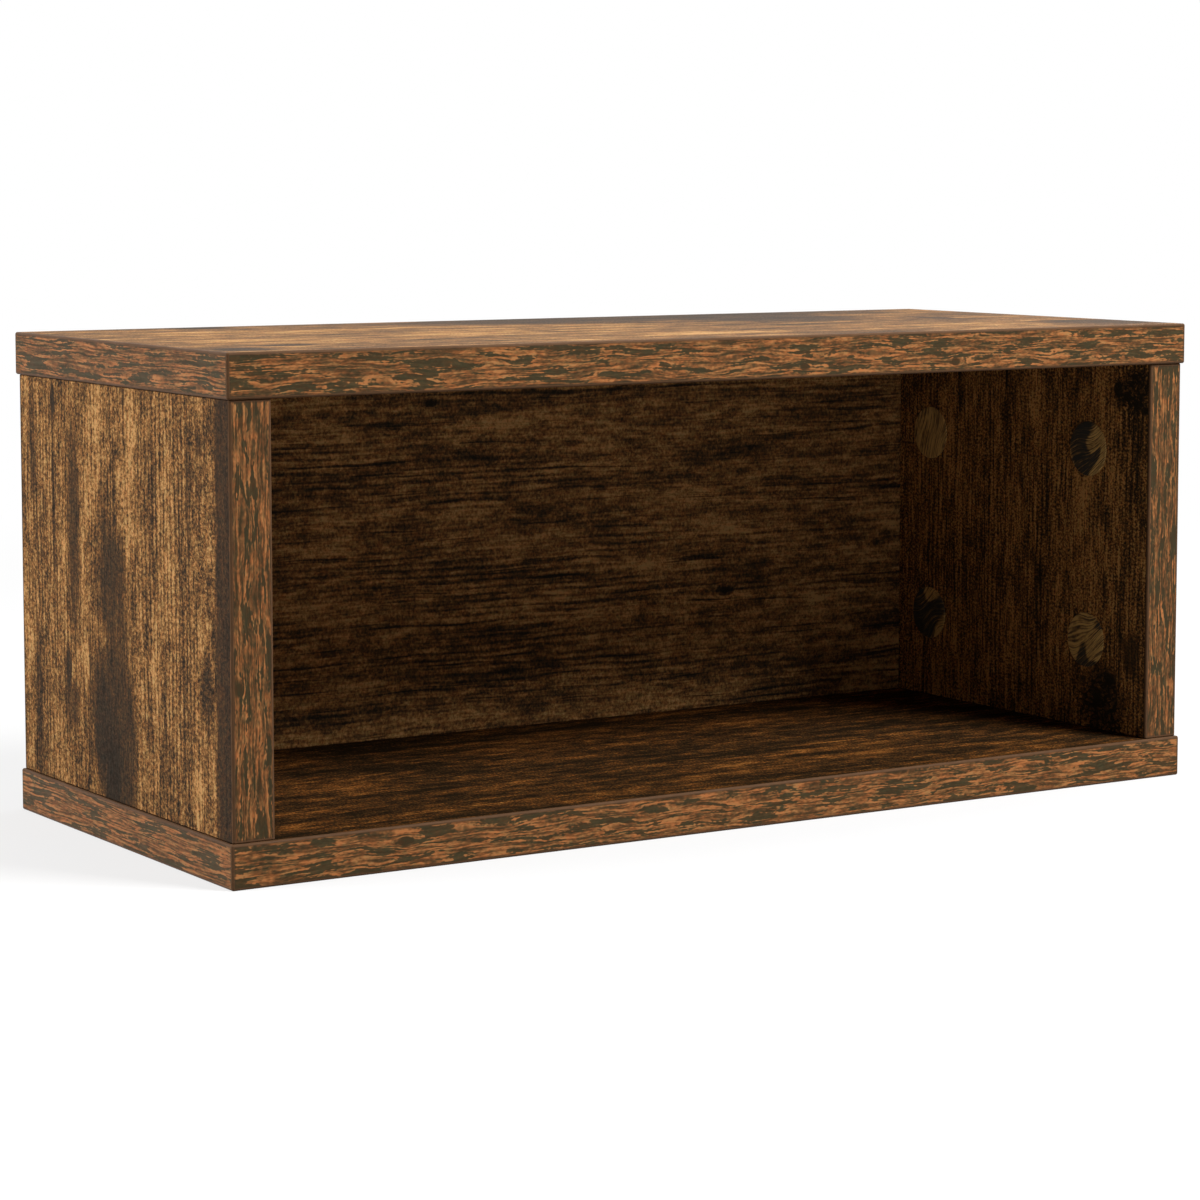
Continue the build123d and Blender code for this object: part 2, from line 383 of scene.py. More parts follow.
class BandPrint(Pattern):
    """Figure of the edge bands: orange-brown streaks that flow round dark olive blobs."""

    NAME = "band_print"
    INPUTS = {"Point": VECTOR, "Push": 0.0}

    LENS_BEND = Layer((2.6, 12.0, 30.0), 1.9, 0.0)
    SLOW_BEND = Layer((7.0, 34.0, 30.0), 2.6, 0.0)
    BROAD = Layer((2.3, 14.0, 20.0), 1.15, 0.0)
    PATCH = Layer((1.0, 5.0, 20.0), 0.85, 2.0, 0.6)
    STREAK = Layer((0.70, 12.0, 20.0), 1.62)
    GRAIN = Layer((0.60, 1.9, 20.0), 0.92, 1.0, 0.65)
    MIDDLE_LEVEL, FINE_IN_LEVEL = 0.575, 0.45
    WOOD_STEP = (0.42, 0.56)
    FLARE_STEP = (0.72, 0.55, 0.0, 0.14)
    OLIVE_TONE, FINE_IN_OLIVE = 0.25, 0.35
    WOOD_TONE, PATCH_IN_WOOD = 0.49, 0.3

    @classmethod
    def fill(cls, g: Graph, given: Sockets) -> Sockets:
        """Bends the grain, then parts olive blobs from streaked wood.

        Args:
            g: The group's graph.
            given: Its inputs by name.

        Returns:
            Its outputs by name.
        """
        point = given["Point"]
        across, along, depth = g.split(point)
        height = g.sum(across, cls.LENS_BEND.swing(g, point), cls.SLOW_BEND.swing(g, point))
        bent = g.combine(g.minus(height, given["Push"]), along, depth)
        patch = cls.PATCH.read(g, bent)
        fine = g.sum(cls.STREAK.swing(g, bent), cls.GRAIN.swing(g, bent))
        patches = g.away(patch, cls.PATCH.gain)
        level = g.sum(cls.MIDDLE_LEVEL, cls.BROAD.swing(g, bent), patches, g.times(fine, cls.FINE_IN_LEVEL))
        wood = g.fade(level, *cls.WOOD_STEP)
        flare = g.fade(level, *cls.FLARE_STEP)
        olive_tone = g.math("MULTIPLY_ADD", fine, cls.FINE_IN_OLIVE, cls.OLIVE_TONE)
        wood_tone = g.sum(cls.WOOD_TONE, fine, flare, g.away(patch, cls.PATCH_IN_WOOD))
        rise = g.times(g.minus(wood_tone, olive_tone), wood)
        return {"Tone": g.sum(olive_tone, rise), "Fibre": g.sum(fine, 0.5), "Wood": wood}


class HueDrift(Pattern):
    """Wander of the print's hue between olive and orange, apart from its brightness."""

    NAME = "hue_drift"
    INPUTS = {"Point": VECTOR, "Color": COLOUR, "Amount": 1.0, "Lean": 0.0}

    WANDER = Layer((1.0, 3.2, 9.0), 2.2, 2.0, 0.6)
    OLIVE = (0.85, 1.09, 1.16)
    ORANGE = (1.11, 0.91, 0.85)

    @classmethod
    def fill(cls, g: Graph, given: Sockets) -> Sockets:
        """Tints the colour.

        Args:
            g: The group's graph.
            given: Its inputs by name.

        Returns:
            Its outputs by name.
        """
        place = g.sum(0.5, cls.WANDER.swing(g, given["Point"]), given["Lean"])
        tint = g.mix(place, cls.OLIVE, cls.ORANGE)
        return {"Color": g.mix(given["Amount"], given["Color"], tint, "MULTIPLY")}


class BoxEdges(Pattern):
    """Mask along the arrises of a box, where two of its faces meet."""

    NAME = "box_edges"
    INPUTS = {"Point": VECTOR, "Middle": VECTOR, "Half Size": VECTOR, "Width": 1.0}

    SOLID_SHARE = 0.75

    @classmethod
    def fill(cls, g: Graph, given: Sockets) -> Sockets:
        """Finds where the point is near two faces at once.

        Args:
            g: The group's graph.
            given: Its inputs by name.

        Returns:
            Its outputs by name.
        """
        offset = g.vector("SUBTRACT", given["Point"], given["Middle"])
        inside = g.vector("SUBTRACT", given["Half Size"], g.vector("ABSOLUTE", offset))
        width = given["Width"]
        near = [g.fade(distance, width, g.times(width, cls.SOLID_SHARE)) for distance in g.split(inside)]
        both = g.math("MAXIMUM", g.minus(g.sum(*near), 1.0), 0.0)
        return {"Arris": g.math("MINIMUM", both, 1.0)}


class Chipboard(Pattern):
    """Pressed flakes of the core, which show only inside the drilled holes."""

    NAME = "chipboard"
    INPUTS = {"Point": VECTOR}

    FLAKE_SIZE = (1.4, 1.0, 0.8)
    FLAKE_SHARE = 0.7
    DUST = Layer((0.5, 0.5, 0.5), 0.3, 2.0, 0.6)
    STOPS = ((0.1, (0.10, 0.062, 0.035)), (0.5, (0.30, 0.20, 0.12)), (0.95, (0.46, 0.34, 0.22)))

    @classmethod
    def fill(cls, g: Graph, given: Sockets) -> Sockets:
        """Colours cells and dust.

        Args:
            g: The group's graph.
            given: Its inputs by name.

        Returns:
            Its outputs by name.
        """
        scaled = g.vector("DIVIDE", given["Point"], cls.FLAKE_SIZE)
        cells = g.call("ShaderNodeTexVoronoi", {"Vector": scaled, "Scale": 1.0})
        flake = g.times(g.split(cells.outputs["Color"])[0], cls.FLAKE_SHARE)
        dust = g.times(cls.DUST.read(g, given["Point"]), cls.DUST.gain)
        return {"Color": g.ramp(g.sum(flake, dust), cls.STOPS)}


class MetalSkin(Pattern):
    """Unevenness of a metal skin: fine grit, soft stains and turning marks."""

    NAME = "metal_skin"
    INPUTS = {"Point": VECTOR}

    GRIT = Layer((0.16, 0.16, 0.16), 1.0, 2.0, 0.6)
    STAIN = Layer((3.0, 3.0, 3.0), 1.0, 3.0, 0.6)
    TURNED = Layer((30.0, 0.12, 30.0))

    @classmethod
    def fill(cls, g: Graph, given: Sockets) -> Sockets:
        """Reads the three layers.

        Args:
            g: The group's graph.
            given: Its inputs by name.

        Returns:
            Its outputs by name.
        """
        layers = {"Grit": cls.GRIT, "Stain": cls.STAIN, "Turned": cls.TURNED}
        return {label: layer.read(g, given["Point"]) for label, layer in layers.items()}


class Lie(Enum):
    """Which object axes run across the grain, along it and into the board."""

    UPRIGHT_SIDE = (1, 2, 0)
    LENGTHWISE_FLAT = (1, 0, 2)
    LENGTHWISE_UPRIGHT = (2, 0, 1)
    END_BAND = (2, 1, 0)
    UPRIGHT_BAND = (0, 2, 1)

    def turned(self, values: Sequence[Any]) -> tuple[Any, Any, Any]:
        """Puts values on X, Y and Z in the order across, along, depth."""
        across, along, depth = self.value
        return values[across], values[along], values[depth]

    def box(self, low: Vector, high: Vector) -> tuple[Triple, Triple]:
        """Middle and half size in millimetres of a box whose corners are in metres."""
        middle, half = (low + high) / 2, (high - low) / 2
        return self.turned(middle * PER_METRE), self.turned(half * PER_METRE)


class MarkKind(Enum):
    """What a listed mark does to the print."""

    DARK = "dark"
    BROWN = "brown"
    GOLD = "gold"
    CURL = "curl"
    RIBS = "ribs"
    KNOT = "knot"


DARK, BROWN, GOLD, CURL, RIBS, KNOT = MarkKind


@dataclass(frozen=True)
class Mark:
    """A listed feature of a print: its middle, then its half size, across and along the grain."""

    kind: MarkKind
    across: float
    along: float
    half_across: float
    half_along: float
    strength: float = 1.0
    soft: float = 0.3
    ragged: float = 1.2
    taper: float = 0.0


@dataclass(frozen=True)
class MarkedFace:
    """The marks on one face, and where the face lies on the axis into the board."""

    depth: float
    marks: tuple[Mark, ...]


class MarkSums:
    """Adds up the marks of one print by kind."""

    HALF_DEPTH = 5.0
    OUT_OF_REACH = 9.0

    def __init__(self, g: Graph, point: Socket, faces: Sequence[MarkedFace]) -> None:
        """Places a group for each mark.

        Args:
            g: The material's graph.
            point: The print's point.
            faces: The marks of each face.
        """
        self.masks: dict[MarkKind, Any] = {kind: 0.0 for kind in MarkKind}
        self.push: Any = 0.0
        self.ring_reach: Any = self.OUT_OF_REACH
        for face in faces:
            for mark in face.marks:
                found = PrintMark.place(
                    g,
                    Point=point,
                    Middle=(mark.across, mark.along, face.depth),
                    Half_Size=(mark.half_across, mark.half_along, self.HALF_DEPTH),
                    Taper=mark.taper,
                    Ragged=mark.ragged,
                    Soft=mark.soft,
                )
                mask = g.times(found["Mask"], mark.strength)
                self.masks[mark.kind] = g.math("MAXIMUM", self.masks[mark.kind], mask)
                if mark.kind is KNOT:
                    self.push = g.sum(self.push, found["Push"])
                    self.ring_reach = g.math("MINIMUM", self.ring_reach, found["Reach"])


class Surface:
    """A material with one Principled BSDF, and the graph of its nodes."""

    def __init__(self, name: str) -> None:
        """Makes the material.

        Args:
            name: Its name.
        """
        self.material = bpy.data.materials.new(name)
        self.material.use_nodes = True
        self.graph = Graph(self.material.node_tree)
        self.shader = self.material.node_tree.nodes["Principled BSDF"]

    def point(self, lie: Lie) -> Socket:
        """Object coordinates in millimetres, in the print's order.

        Args:
            lie: How the grain lies.

        Returns:
            The point.
        """
        coordinates = self.graph.node("ShaderNodeTexCoord").outputs["Object"]
        scaled = self.graph.call("ShaderNodeMapping", {"Vector": coordinates, "Scale": (PER_METRE,) * 3})
        return self.graph.combine(*lie.turned(self.graph.split(scaled.outputs[0])))

    def shifted(self, point: Socket, offset: Triple, stretch: float = 1.0) -> Socket:
        """The point, moved by an offset, with the figure so many times longer along the grain."""
        inputs = {"Vector": point, "Location": offset, "Scale": (1.0, 1.0 / stretch, 1.0)}
        return self.graph.call("ShaderNodeMapping", inputs).outputs[0]

    def finish(
        self, colour: Any, rough: Any, height: Any = None, bump: Pair = (0.4, 0.05), **plain: float
    ) -> bpy.types.Material:
        """Feeds the shader.

        Args:
            colour: Base colour.
            rough: Roughness.
            height: What the bump follows, if anything.
            bump: The bump's strength, and its depth in millimetres.
            **plain: Numbers that are the same all over, by socket name with _ for a space.

        Returns:
            The material.
        """
        inputs = {"Base Color": colour, "Roughness": rough}
        inputs.update({name.replace("_", " "): value for name, value in plain.items()})
        if height is not None:
            strength, depth = bump
            bumps = {"Strength": strength, "Distance": depth * MM, "Height": height}
            inputs["Normal"] = self.graph.call("ShaderNodeBump", bumps).outputs[0]
        for name, value in inputs.items():
            self.graph.feed(self.shader.inputs[name], value)
        return self.material


@dataclass(frozen=True)
class FaceLook:
    """How strongly one face of a board shows each part of its print, with its lightness and tint; on some
    faces these hold painted light and shade.
    """

    lightness: float = 0.0
    figure: float = 1.0
    grain: float = 0.60
    long_streaks: float = 1.0
    vein: float = -0.12
    tint: Colour = (1.0, 1.0, 1.0)


@dataclass(frozen=True)
class Laminate:
    """Melamine face printed with smoked oak, on a chipboard core.

    The look is that of the whole board, or of its high half where its low half has a look of its own, so a
    face may carry painted light or shade.
    A dark line fades inward from the face's edges: a glue line at the band seams, and painted joint shade
    where a cut end meets another board. The core shows below the face.
    """

    board: str
    lie: Lie
    offset: Triple
    faces: tuple[MarkedFace, ...]
    look: FaceLook
    low_look: FaceLook | None = None
    specular: float = 0.02
    dark_level: float = 0.17
    brown_level: float = 0.24
    roughness: float = 0.65
    glue_and_shade_step: Pair = (0.45, 0.15)
    core_step: Pair = (0.7, 0.8)
    hue_drift: float = 0.7

    STOPS = (
        (0.05, (0.022, 0.018, 0.014)),
        (0.22, (0.050, 0.035, 0.024)),
        (0.38, (0.098, 0.053, 0.026)),
        (0.52, (0.185, 0.092, 0.038)),
        (0.66, (0.310, 0.153, 0.055)),
        (0.80, (0.450, 0.234, 0.086)),
        (0.95, (0.630, 0.350, 0.138)),
    )
    RIB_GAIN, RIB_MIDDLE = -0.27, 0.25
    GOLD_GAIN = 0.24
    KNOT_GAIN = -0.40
    FIBRE_IN_DARK, FIBRE_IN_BROWN, TONE_IN_MARKS = 0.25, 0.28, 0.12
    BROWN_TINT = (1.0, 0.97, 0.98)
    RING_TURNS, RING_GAIN = 11.0, 0.07
    RING_STEP = (2.6, 1.0)
    # Dark line at the face's edges: glue at the band seams, painted joint shade at the cut ends.
    GLUE_AND_JOINT_SHADE_COLOUR = (0.022, 0.014, 0.010)
    GLUE_AND_SHADE_SHARE = 0.8
    FIBRE_IN_ROUGH, TONE_IN_ROUGH = -0.16, -0.08
    FIBRE_HEIGHT, RIB_HEIGHT = 0.7, -0.4
    BUMP = (0.35, 0.06)

    def levels(self, g: Graph, on_low_face: Socket) -> dict[str, Any]:
        """The look's numbers and tint, which may differ on the board's two faces.

        Args:
            g: The material's graph.
            on_low_face: 1 in the half of the board on its low side, 0 in the other.

        Returns:
            The numbers and the tint by name.
        """
        low_look = self.low_look or self.look
        levels: dict[str, Any] = {"tint": g.mix(on_low_face, self.look.tint, low_look.tint)}
        for name in ("lightness", "figure", "grain", "long_streaks", "vein"):
            value, low_value = getattr(self.look, name), getattr(low_look, name)
            rise = low_value - value
            levels[name] = g.math("MULTIPLY_ADD", on_low_face, rise, value) if rise else value
        return levels

    def tone(self, g: Graph, figure: Sockets, levels: dict[str, Any], marks: MarkSums) -> Socket:
        """Brightness of the print with its marks.

        Args:
            g: The material's graph.
            figure: The wood print.
            levels: The look's numbers.
            marks: The marks.

        Returns:
            The tone, as a place on the colour ramp.
        """
        tone = g.sum(
            figure["Tone"],
            levels["lightness"],
            g.away(figure["Rib"], self.RIB_GAIN, self.RIB_MIDDLE),
            g.away(figure["Fibre"], levels["grain"]),
            g.times(marks.masks[GOLD], self.GOLD_GAIN),
            g.times(marks.masks[KNOT], self.KNOT_GAIN),
        )
        held_marks = (
            (DARK, self.dark_level, self.FIBRE_IN_DARK),
            (BROWN, self.brown_level, self.FIBRE_IN_BROWN),
        )
        for kind, level, fibre in held_marks:
            held = g.sum(level, g.away(figure["Fibre"], fibre), g.away(figure["Tone"], self.TONE_IN_MARKS))
            tone = g.math("MULTIPLY_ADD", g.minus(held, tone), marks.masks[kind], tone)
        tone = g.math("MULTIPLY_ADD", figure["Vein"], levels["vein"], tone)
        if isinstance(marks.ring_reach, float):
            return tone
        rings = g.math("SINE", g.times(marks.ring_reach, self.RING_TURNS))
        around = g.fade(marks.ring_reach, *self.RING_STEP)
        return g.math("MULTIPLY_ADD", g.times(rings, around), self.RING_GAIN, tone)

    def material(self) -> bpy.types.Material:
        """Builds the board's finish.

        Returns:
            The material.
        """
        surface = Surface(self.board.replace("_board", "_laminate"))
        g = surface.graph
        point = surface.point(self.lie)
        shifted = surface.shifted(point, self.offset)
        middle, half = self.lie.box(*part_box(self.board))
        levels = self.levels(g, g.math("LESS_THAN", g.split(point)[2], middle[2]))
        marks = MarkSums(g, point, self.faces)
        figure = WoodPrint.place(
            g,
            Point=shifted,
            Push=marks.push,
            Curl=marks.masks[CURL],
            Ribs=marks.masks[RIBS],
            Figure=levels["figure"],
            Long=levels["long_streaks"],
        )
        colour = g.ramp(self.tone(g, figure, levels, marks), self.STOPS)
        colour = g.mix(marks.masks[BROWN], colour, self.BROWN_TINT, "MULTIPLY")
        colour = HueDrift.place(g, Point=shifted, Color=colour, Amount=self.hue_drift)["Color"]
        colour = g.mix(1.0, colour, levels["tint"], "MULTIPLY")
        offset = g.vector("ABSOLUTE", g.vector("SUBTRACT", point, middle))
        edge_across, edge_along, edge_depth = g.split(g.vector("SUBTRACT", half, offset))
        edge = g.math("MINIMUM", edge_across, edge_along)
        # Glue line and painted shade: a dark line fading inward from the face's edges, glue at band seams and
        # joint shade at cut ends.
        glue_and_shade = g.fade(edge, *self.glue_and_shade_step, 0.0, self.GLUE_AND_SHADE_SHARE)
        colour = g.mix(glue_and_shade, colour, self.GLUE_AND_JOINT_SHADE_COLOUR)
        core = Chipboard.place(g, Point=point)["Color"]
        colour = g.mix(g.fade(edge_depth, *self.core_step), colour, core)
        rough = g.sum(
            self.roughness,
            g.away(figure["Fibre"], self.FIBRE_IN_ROUGH),
            g.away(figure["Tone"], self.TONE_IN_ROUGH),
        )
        height = g.sum(g.times(figure["Fibre"], self.FIBRE_HEIGHT), g.times(figure["Rib"], self.RIB_HEIGHT))
        return surface.finish(colour, rough, height, self.BUMP, Specular_IOR_Level=self.specular)


@dataclass(frozen=True)
class EdgeBand:
    """Printed edge band with plain brown arrises, for a board's bands that run one way."""

    name: str
    board: str
    edges: tuple[str, ...]
    lie: Lie
    offset: Triple
    faces: tuple[MarkedFace, ...] = ()
    lightness: float = 0.0
    specular: float = 0.05
    stretch: float = 1.0
    roughness: float = 0.52
    arris_width: float = 0.95

    STOPS = (
        (0.16, (0.058, 0.037, 0.017)),
        (0.31, (0.082, 0.050, 0.022)),
        (0.42, (0.112, 0.060, 0.026)),
        (0.50, (0.150, 0.073, 0.029)),
        (0.58, (0.200, 0.092, 0.034)),
        (0.70, (0.290, 0.128, 0.046)),
        (0.88, (0.460, 0.200, 0.070)),
    )
    KNOT_GAIN = -0.42
    HUE_LEAN = 0.4
    SHADE_WIDTH, SHADE_SHARE = 1.45, 0.5
    SHADE_COLOUR = (0.055, 0.032, 0.019)
    PLAIN = (0.118, 0.061, 0.030)
    PLAIN_SPREAD = (0.75, 1.25)
    MOTTLE = Layer((0.9, 3.0, 3.0), 1.0, 2.0)
    FIBRE_IN_ROUGH, TONE_IN_ROUGH = -0.15, -0.05
    BUMP = (0.3, 0.05)

    def nodes(self) -> list[str]:
        """Names of the bands."""
        return [f"{self.board}_{edge}_band" for edge in self.edges]

    def material(self, low: Vector, high: Vector) -> bpy.types.Material:
        """Builds the finish.

        Args:
            low: Lowest corner of the board with its bands.
            high: Its highest corner.

        Returns:
            The material.
        """
        surface = Surface(self.name)
        g = surface.graph
        point = surface.point(self.lie)
        shifted = surface.shifted(point, self.offset, self.stretch)
        marks = MarkSums(g, point, self.faces)
        figure = BandPrint.place(g, Point=shifted, Push=marks.push)
        tone = g.sum(figure["Tone"], self.lightness, g.times(marks.masks[KNOT], self.KNOT_GAIN))
        lean = g.away(figure["Wood"], self.HUE_LEAN)
        colour = HueDrift.place(g, Point=shifted, Color=g.ramp(tone, self.STOPS), Lean=lean)["Color"]
        middle, half = self.lie.box(low, high)
        box = {"Point": point, "Middle": middle, "Half_Size": half}
        widths = (self.arris_width, self.arris_width * self.SHADE_WIDTH)
        arris, wide = (BoxEdges.place(g, Width=width, **box)["Arris"] for width in widths)
        colour = g.mix(g.times(g.minus(wide, arris), self.SHADE_SHARE), colour, self.SHADE_COLOUR)
        deep, pale = (tuple(c * share for c in self.PLAIN) for share in self.PLAIN_SPREAD)
        colour = g.mix(arris, colour, g.mix(self.MOTTLE.read(g, shifted), deep, pale))
        rough = g.sum(
            self.roughness, g.away(figure["Fibre"], self.FIBRE_IN_ROUGH), g.away(tone, self.TONE_IN_ROUGH)
        )
        return surface.finish(colour, rough, figure["Fibre"], self.BUMP, Specular_IOR_Level=self.specular)


@dataclass(frozen=True)
class CoverPrint:
    """Printed stick-on cover. It reads the place and turn that each disc carries."""

    name: str = "cover_disc"
    roughness: float = 0.5
    specular: float = 0.15

    PLACE = "print_place"
    BEND = Layer((15.0, 17.0, 9.0), 13.0, 0.0)
    LINE = Layer((0.55, 12.0, 9.0), 1.6)
    SPECK = Layer((0.6, 2.0, 9.0), 0.5)
    BLOTCH = Layer((12.0, 19.0, 9.0), -0.50, 1.0, 0.3)
    BLOTCH_STEP = (0.48, 0.42)
    MIDDLE_TONE, TONE_IN_ROUGH = 0.67, -0.2
    BUMP = (0.25, 0.04)
    STOPS = (
        (0.10, (0.034, 0.032, 0.028)),
        (0.32, (0.090, 0.064, 0.034)),
        (0.52, (0.300, 0.172, 0.058)),
        (0.80, (0.720, 0.450, 0.150)),
    )

    def material(self) -> bpy.types.Material:
        """Builds the finish.

        Returns:
            The material.
        """
        surface = Surface(self.name)
        g = surface.graph
        place = g.node("ShaderNodeAttribute", attribute_name=self.PLACE).outputs["Vector"]
        across, along, depth = g.split(place)
        bent = g.combine(g.sum(across, self.BEND.swing(g, place)), along, depth)
        blotch = g.times(g.fade(self.BLOTCH.read(g, bent), *self.BLOTCH_STEP), self.BLOTCH.gain)
        tone = g.sum(self.MIDDLE_TONE, self.LINE.swing(g, bent), self.SPECK.swing(g, bent), blotch)
        rough = g.sum(self.roughness, g.away(tone, self.TONE_IN_ROUGH))
        colour = g.ramp(tone, self.STOPS)
        return surface.finish(colour, rough, tone, self.BUMP, Specular_IOR_Level=self.specular)


@dataclass(frozen=True)
class Metal:
    """A metal skin: cast, or turned on a lathe."""

    name: str
    colour: Colour
    stain: Colour
    roughness: float
    bump_depth: float
    turned: float = 0.0

    STAIN_STEP = (0.45, 0.7)
    STAIN_IN_ROUGH, GRIT_IN_ROUGH = 0.3, 0.15
    BUMP_STRENGTH = 0.4

    def material(self) -> bpy.types.Material:
        """Builds the finish.

        Returns:
            The material.
        """
        surface = Surface(self.name)
        g = surface.graph
        skin = MetalSkin.place(g, Point=surface.point(Lie.UPRIGHT_SIDE))
        colour = g.mix(g.fade(skin["Stain"], *self.STAIN_STEP), self.colour, self.stain)
        rough = g.sum(
            self.roughness,
            g.away(skin["Stain"], self.STAIN_IN_ROUGH),
            g.away(skin["Grit"], self.GRIT_IN_ROUGH),
        )
        height = g.sum(skin["Grit"], g.times(skin["Turned"], self.turned))
        return surface.finish(colour, rough, height, (self.BUMP_STRENGTH, self.bump_depth), Metallic=1.0)


@dataclass(frozen=True)
class Beech:
    """Plain turned beech with short flecks along its grain."""

    name: str = "dowel_beech"
    roughness: float = 0.6

    GRAIN = Layer((0.7, 14.0, 0.7), 0.2, 3.0, 0.6)
    FLECK = Layer((0.25, 1.6, 0.25), 0.6)
    FLECK_STEP = (0.62, 0.70)
    FLECK_COLOUR = (0.33, 0.17, 0.08)
    STOPS = ((0.30, (0.52, 0.32, 0.17)), (0.52, (0.64, 0.43, 0.25)), (0.75, (0.72, 0.52, 0.33)))

    def material(self) -> bpy.types.Material:
        """Builds the finish.

        Returns:
            The material.
        """
        surface = Surface(self.name)
        g = surface.graph
        point = surface.point(Lie.UPRIGHT_SIDE)
        grain = self.GRAIN.read(g, point)
        fleck = g.times(g.fade(self.FLECK.read(g, point), *self.FLECK_STEP), self.FLECK.gain)
        colour = g.mix(fleck, g.ramp(grain, self.STOPS), self.FLECK_COLOUR)
        return surface.finish(colour, g.sum(self.roughness, g.away(grain, self.GRAIN.gain)), grain)


def dress(part: bpy.types.Object, material: bpy.types.Material) -> None:
    """Gives a piece one material."""
    part.data.materials.clear()
    part.data.materials.append(material)


def lathe(outline: Sequence[Pair], steps: int, name: str) -> bpy.types.Object:
    """Turns an outline about Z into a closed mesh.

    Args:
        outline: Radius and height of each point, from the axis round to the axis.
        steps: Number of faces round the axis.
        name: The object's name.

    Returns:
        The object, not linked to the scene.
    """
    shape = bmesh.new()
    turns = [math.tau * step / steps for step in range(steps)]
    rings = []
    for radius, height in outline:
        ring = [(radius * math.cos(turn), radius * math.sin(turn), height) for turn in turns]
        rings.append([shape.verts.new(place) for place in (ring if radius else [(0.0, 0.0, height)])])
    for lower, upper in zip(rings, rings[1:]):
        for step in range(steps):
            after = (step + 1) % steps
            corners = [lower[step % len(lower)], lower[after % len(lower)]]
            corners += [upper[after % len(upper)], upper[step % len(upper)]]
            shape.faces.new(list(dict.fromkeys(corners)))
    bmesh.ops.recalc_face_normals(shape, faces=shape.faces)
    mesh = bpy.data.meshes.new(name)
    shape.to_mesh(mesh)
    shape.free()
    return bpy.data.objects.new(name, mesh)


class Repeater:
    """A Geometry Nodes tree that repeats one shape on the points of a mesh."""

    INSTANCE_TURN = "instance_turn"
    KINDS = {
        float: FLOAT,
        int: "NodeSocketInt",
        bpy.types.Object: "NodeSocketObject",
        bpy.types.Material: "NodeSocketMaterial",
    }

    def __init__(self, name: str, **values: Any) -> None:
        """Starts a tree with a geometry in and a geometry out.

        Args:
            name: The tree's name.
            **values: What the modifier gives each named input, with _ for a space.
        """
        self.tree = bpy.data.node_groups.new(name, "GeometryNodeTree")
        for way in ("INPUT", "OUTPUT"):
            self.tree.interface.new_socket("Geometry", in_out=way, socket_type="NodeSocketGeometry")
        self.values: dict[str, Any] = {}
        for label, value in values.items():
            kind = next(kind for base, kind in self.KINDS.items() if isinstance(value, base))
            socket = self.tree.interface.new_socket(label.replace("_", " "), in_out="INPUT", socket_type=kind)
            self.values[socket.identifier] = value
        self.graph = Graph(self.tree)
        start = self.graph.node("NodeGroupInput")
        self.given = {socket.name: socket for socket in start.outputs if socket.name}

    def read(self, name: str, kind: str = "FLOAT_VECTOR") -> Socket:
        """Reads a named attribute."""
        return self.graph.call("GeometryNodeInputNamedAttribute", {"Name": name}, data_type=kind).outputs[0]

    def store(self, geometry: Socket, name: str, value: Socket, kind: str, domain: str = "POINT") -> Socket:
        """Gives the geometry a named attribute.

        Args:
            geometry: What gets the attribute.
            name: The attribute's name.
            value: Its value.
            kind: Its data type.
            domain: What it is stored on.

        Returns:
            The geometry with the attribute.
        """
        inputs = {"Geometry": geometry, "Name": name, "Value": value}
        made = self.graph.call("GeometryNodeStoreNamedAttribute", inputs, data_type=kind, domain=domain)
        return made.outputs[0]

    def realise(self, geometry: Socket) -> Socket:
        """Makes the copies real geometry."""
        return self.graph.call("GeometryNodeRealizeInstances", {"Geometry": geometry}).outputs[0]

    def set_out(self, shape: Socket) -> Socket:
        """Puts a copy of the shape on each point, with the point's own turn.

        Args:
            shape: What is copied.

        Returns:
            The copies, as instances.
        """
        turn = self.read(self.INSTANCE_TURN)
        inputs = {"Points": self.given["Geometry"], "Instance": shape, "Rotation": turn}
        return self.graph.call("GeometryNodeInstanceOnPoints", inputs).outputs[0]

    def close(self, geometry: Socket) -> None:
        """Ends the tree with real geometry and its material.

        Args:
            geometry: What the tree has made.
        """
        inputs = {"Geometry": self.realise(geometry), "Material": self.given["Material"]}
        dressed = self.graph.call("GeometryNodeSetMaterial", inputs).outputs[0]
        self.graph.call("NodeGroupOutput", {"Geometry": dressed})

    def run(self, places: Sequence[Matrix], name: str) -> bpy.types.Object:
        """Runs the tree on points and gives a plain mesh.

        Args:
            places: Where each copy goes and how it is turned.
            name: The finished piece's name.

        Returns:
            The piece, linked to the scene.
        """
        points = bpy.data.meshes.new(name + "_points")
        points.from_pydata([place.to_translation() for place in places], [], [])
        turns = points.attributes.new(self.INSTANCE_TURN, "FLOAT_VECTOR", "POINT")
        for item, place in zip(turns.data, places):
            item.vector = place.to_euler()
        source = bpy.data.objects.new(name + "_source", points)
        bpy.context.scene.collection.objects.link(source)
        modifier = source.modifiers.new(name, "NODES")
        modifier.node_group = self.tree
        for identifier, value in self.values.items():
            modifier[identifier] = value
        view = bpy.context.evaluated_depsgraph_get()
        mesh = bpy.data.meshes.new_from_object(source.evaluated_get(view), depsgraph=view)
        source.modifiers.remove(modifier)
        bpy.data.objects.remove(source)
        mesh.name = name
        piece = bpy.data.objects.new(name, mesh)
        dress(piece, mesh.materials[-1])
        mesh.polygons.foreach_set("material_index", [0] * len(mesh.polygons))
        bpy.context.scene.collection.objects.link(piece)
        return piece

    def fit(
        self, places: Sequence[Matrix], name: str, nodes: Sequence[str], slot: str, sharp: float
    ) -> bpy.types.Object:
        """Runs the tree and gives the piece to the frame.

        Args:
            places: Where each copy goes and how it is turned.
            name: The finished piece's name.
            nodes: The nodes it stands for.
            slot: Not used.
            sharp: Angle in degrees from which an edge is shaded sharp.

        Returns:
            The piece.
        """
        piece = self.run(places, name)
        piece.data.shade_smooth()
        piece.data.set_sharp_from_angle(angle=math.radians(sharp))
        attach(piece, ROOT)
        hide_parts(*nodes)
        return piece


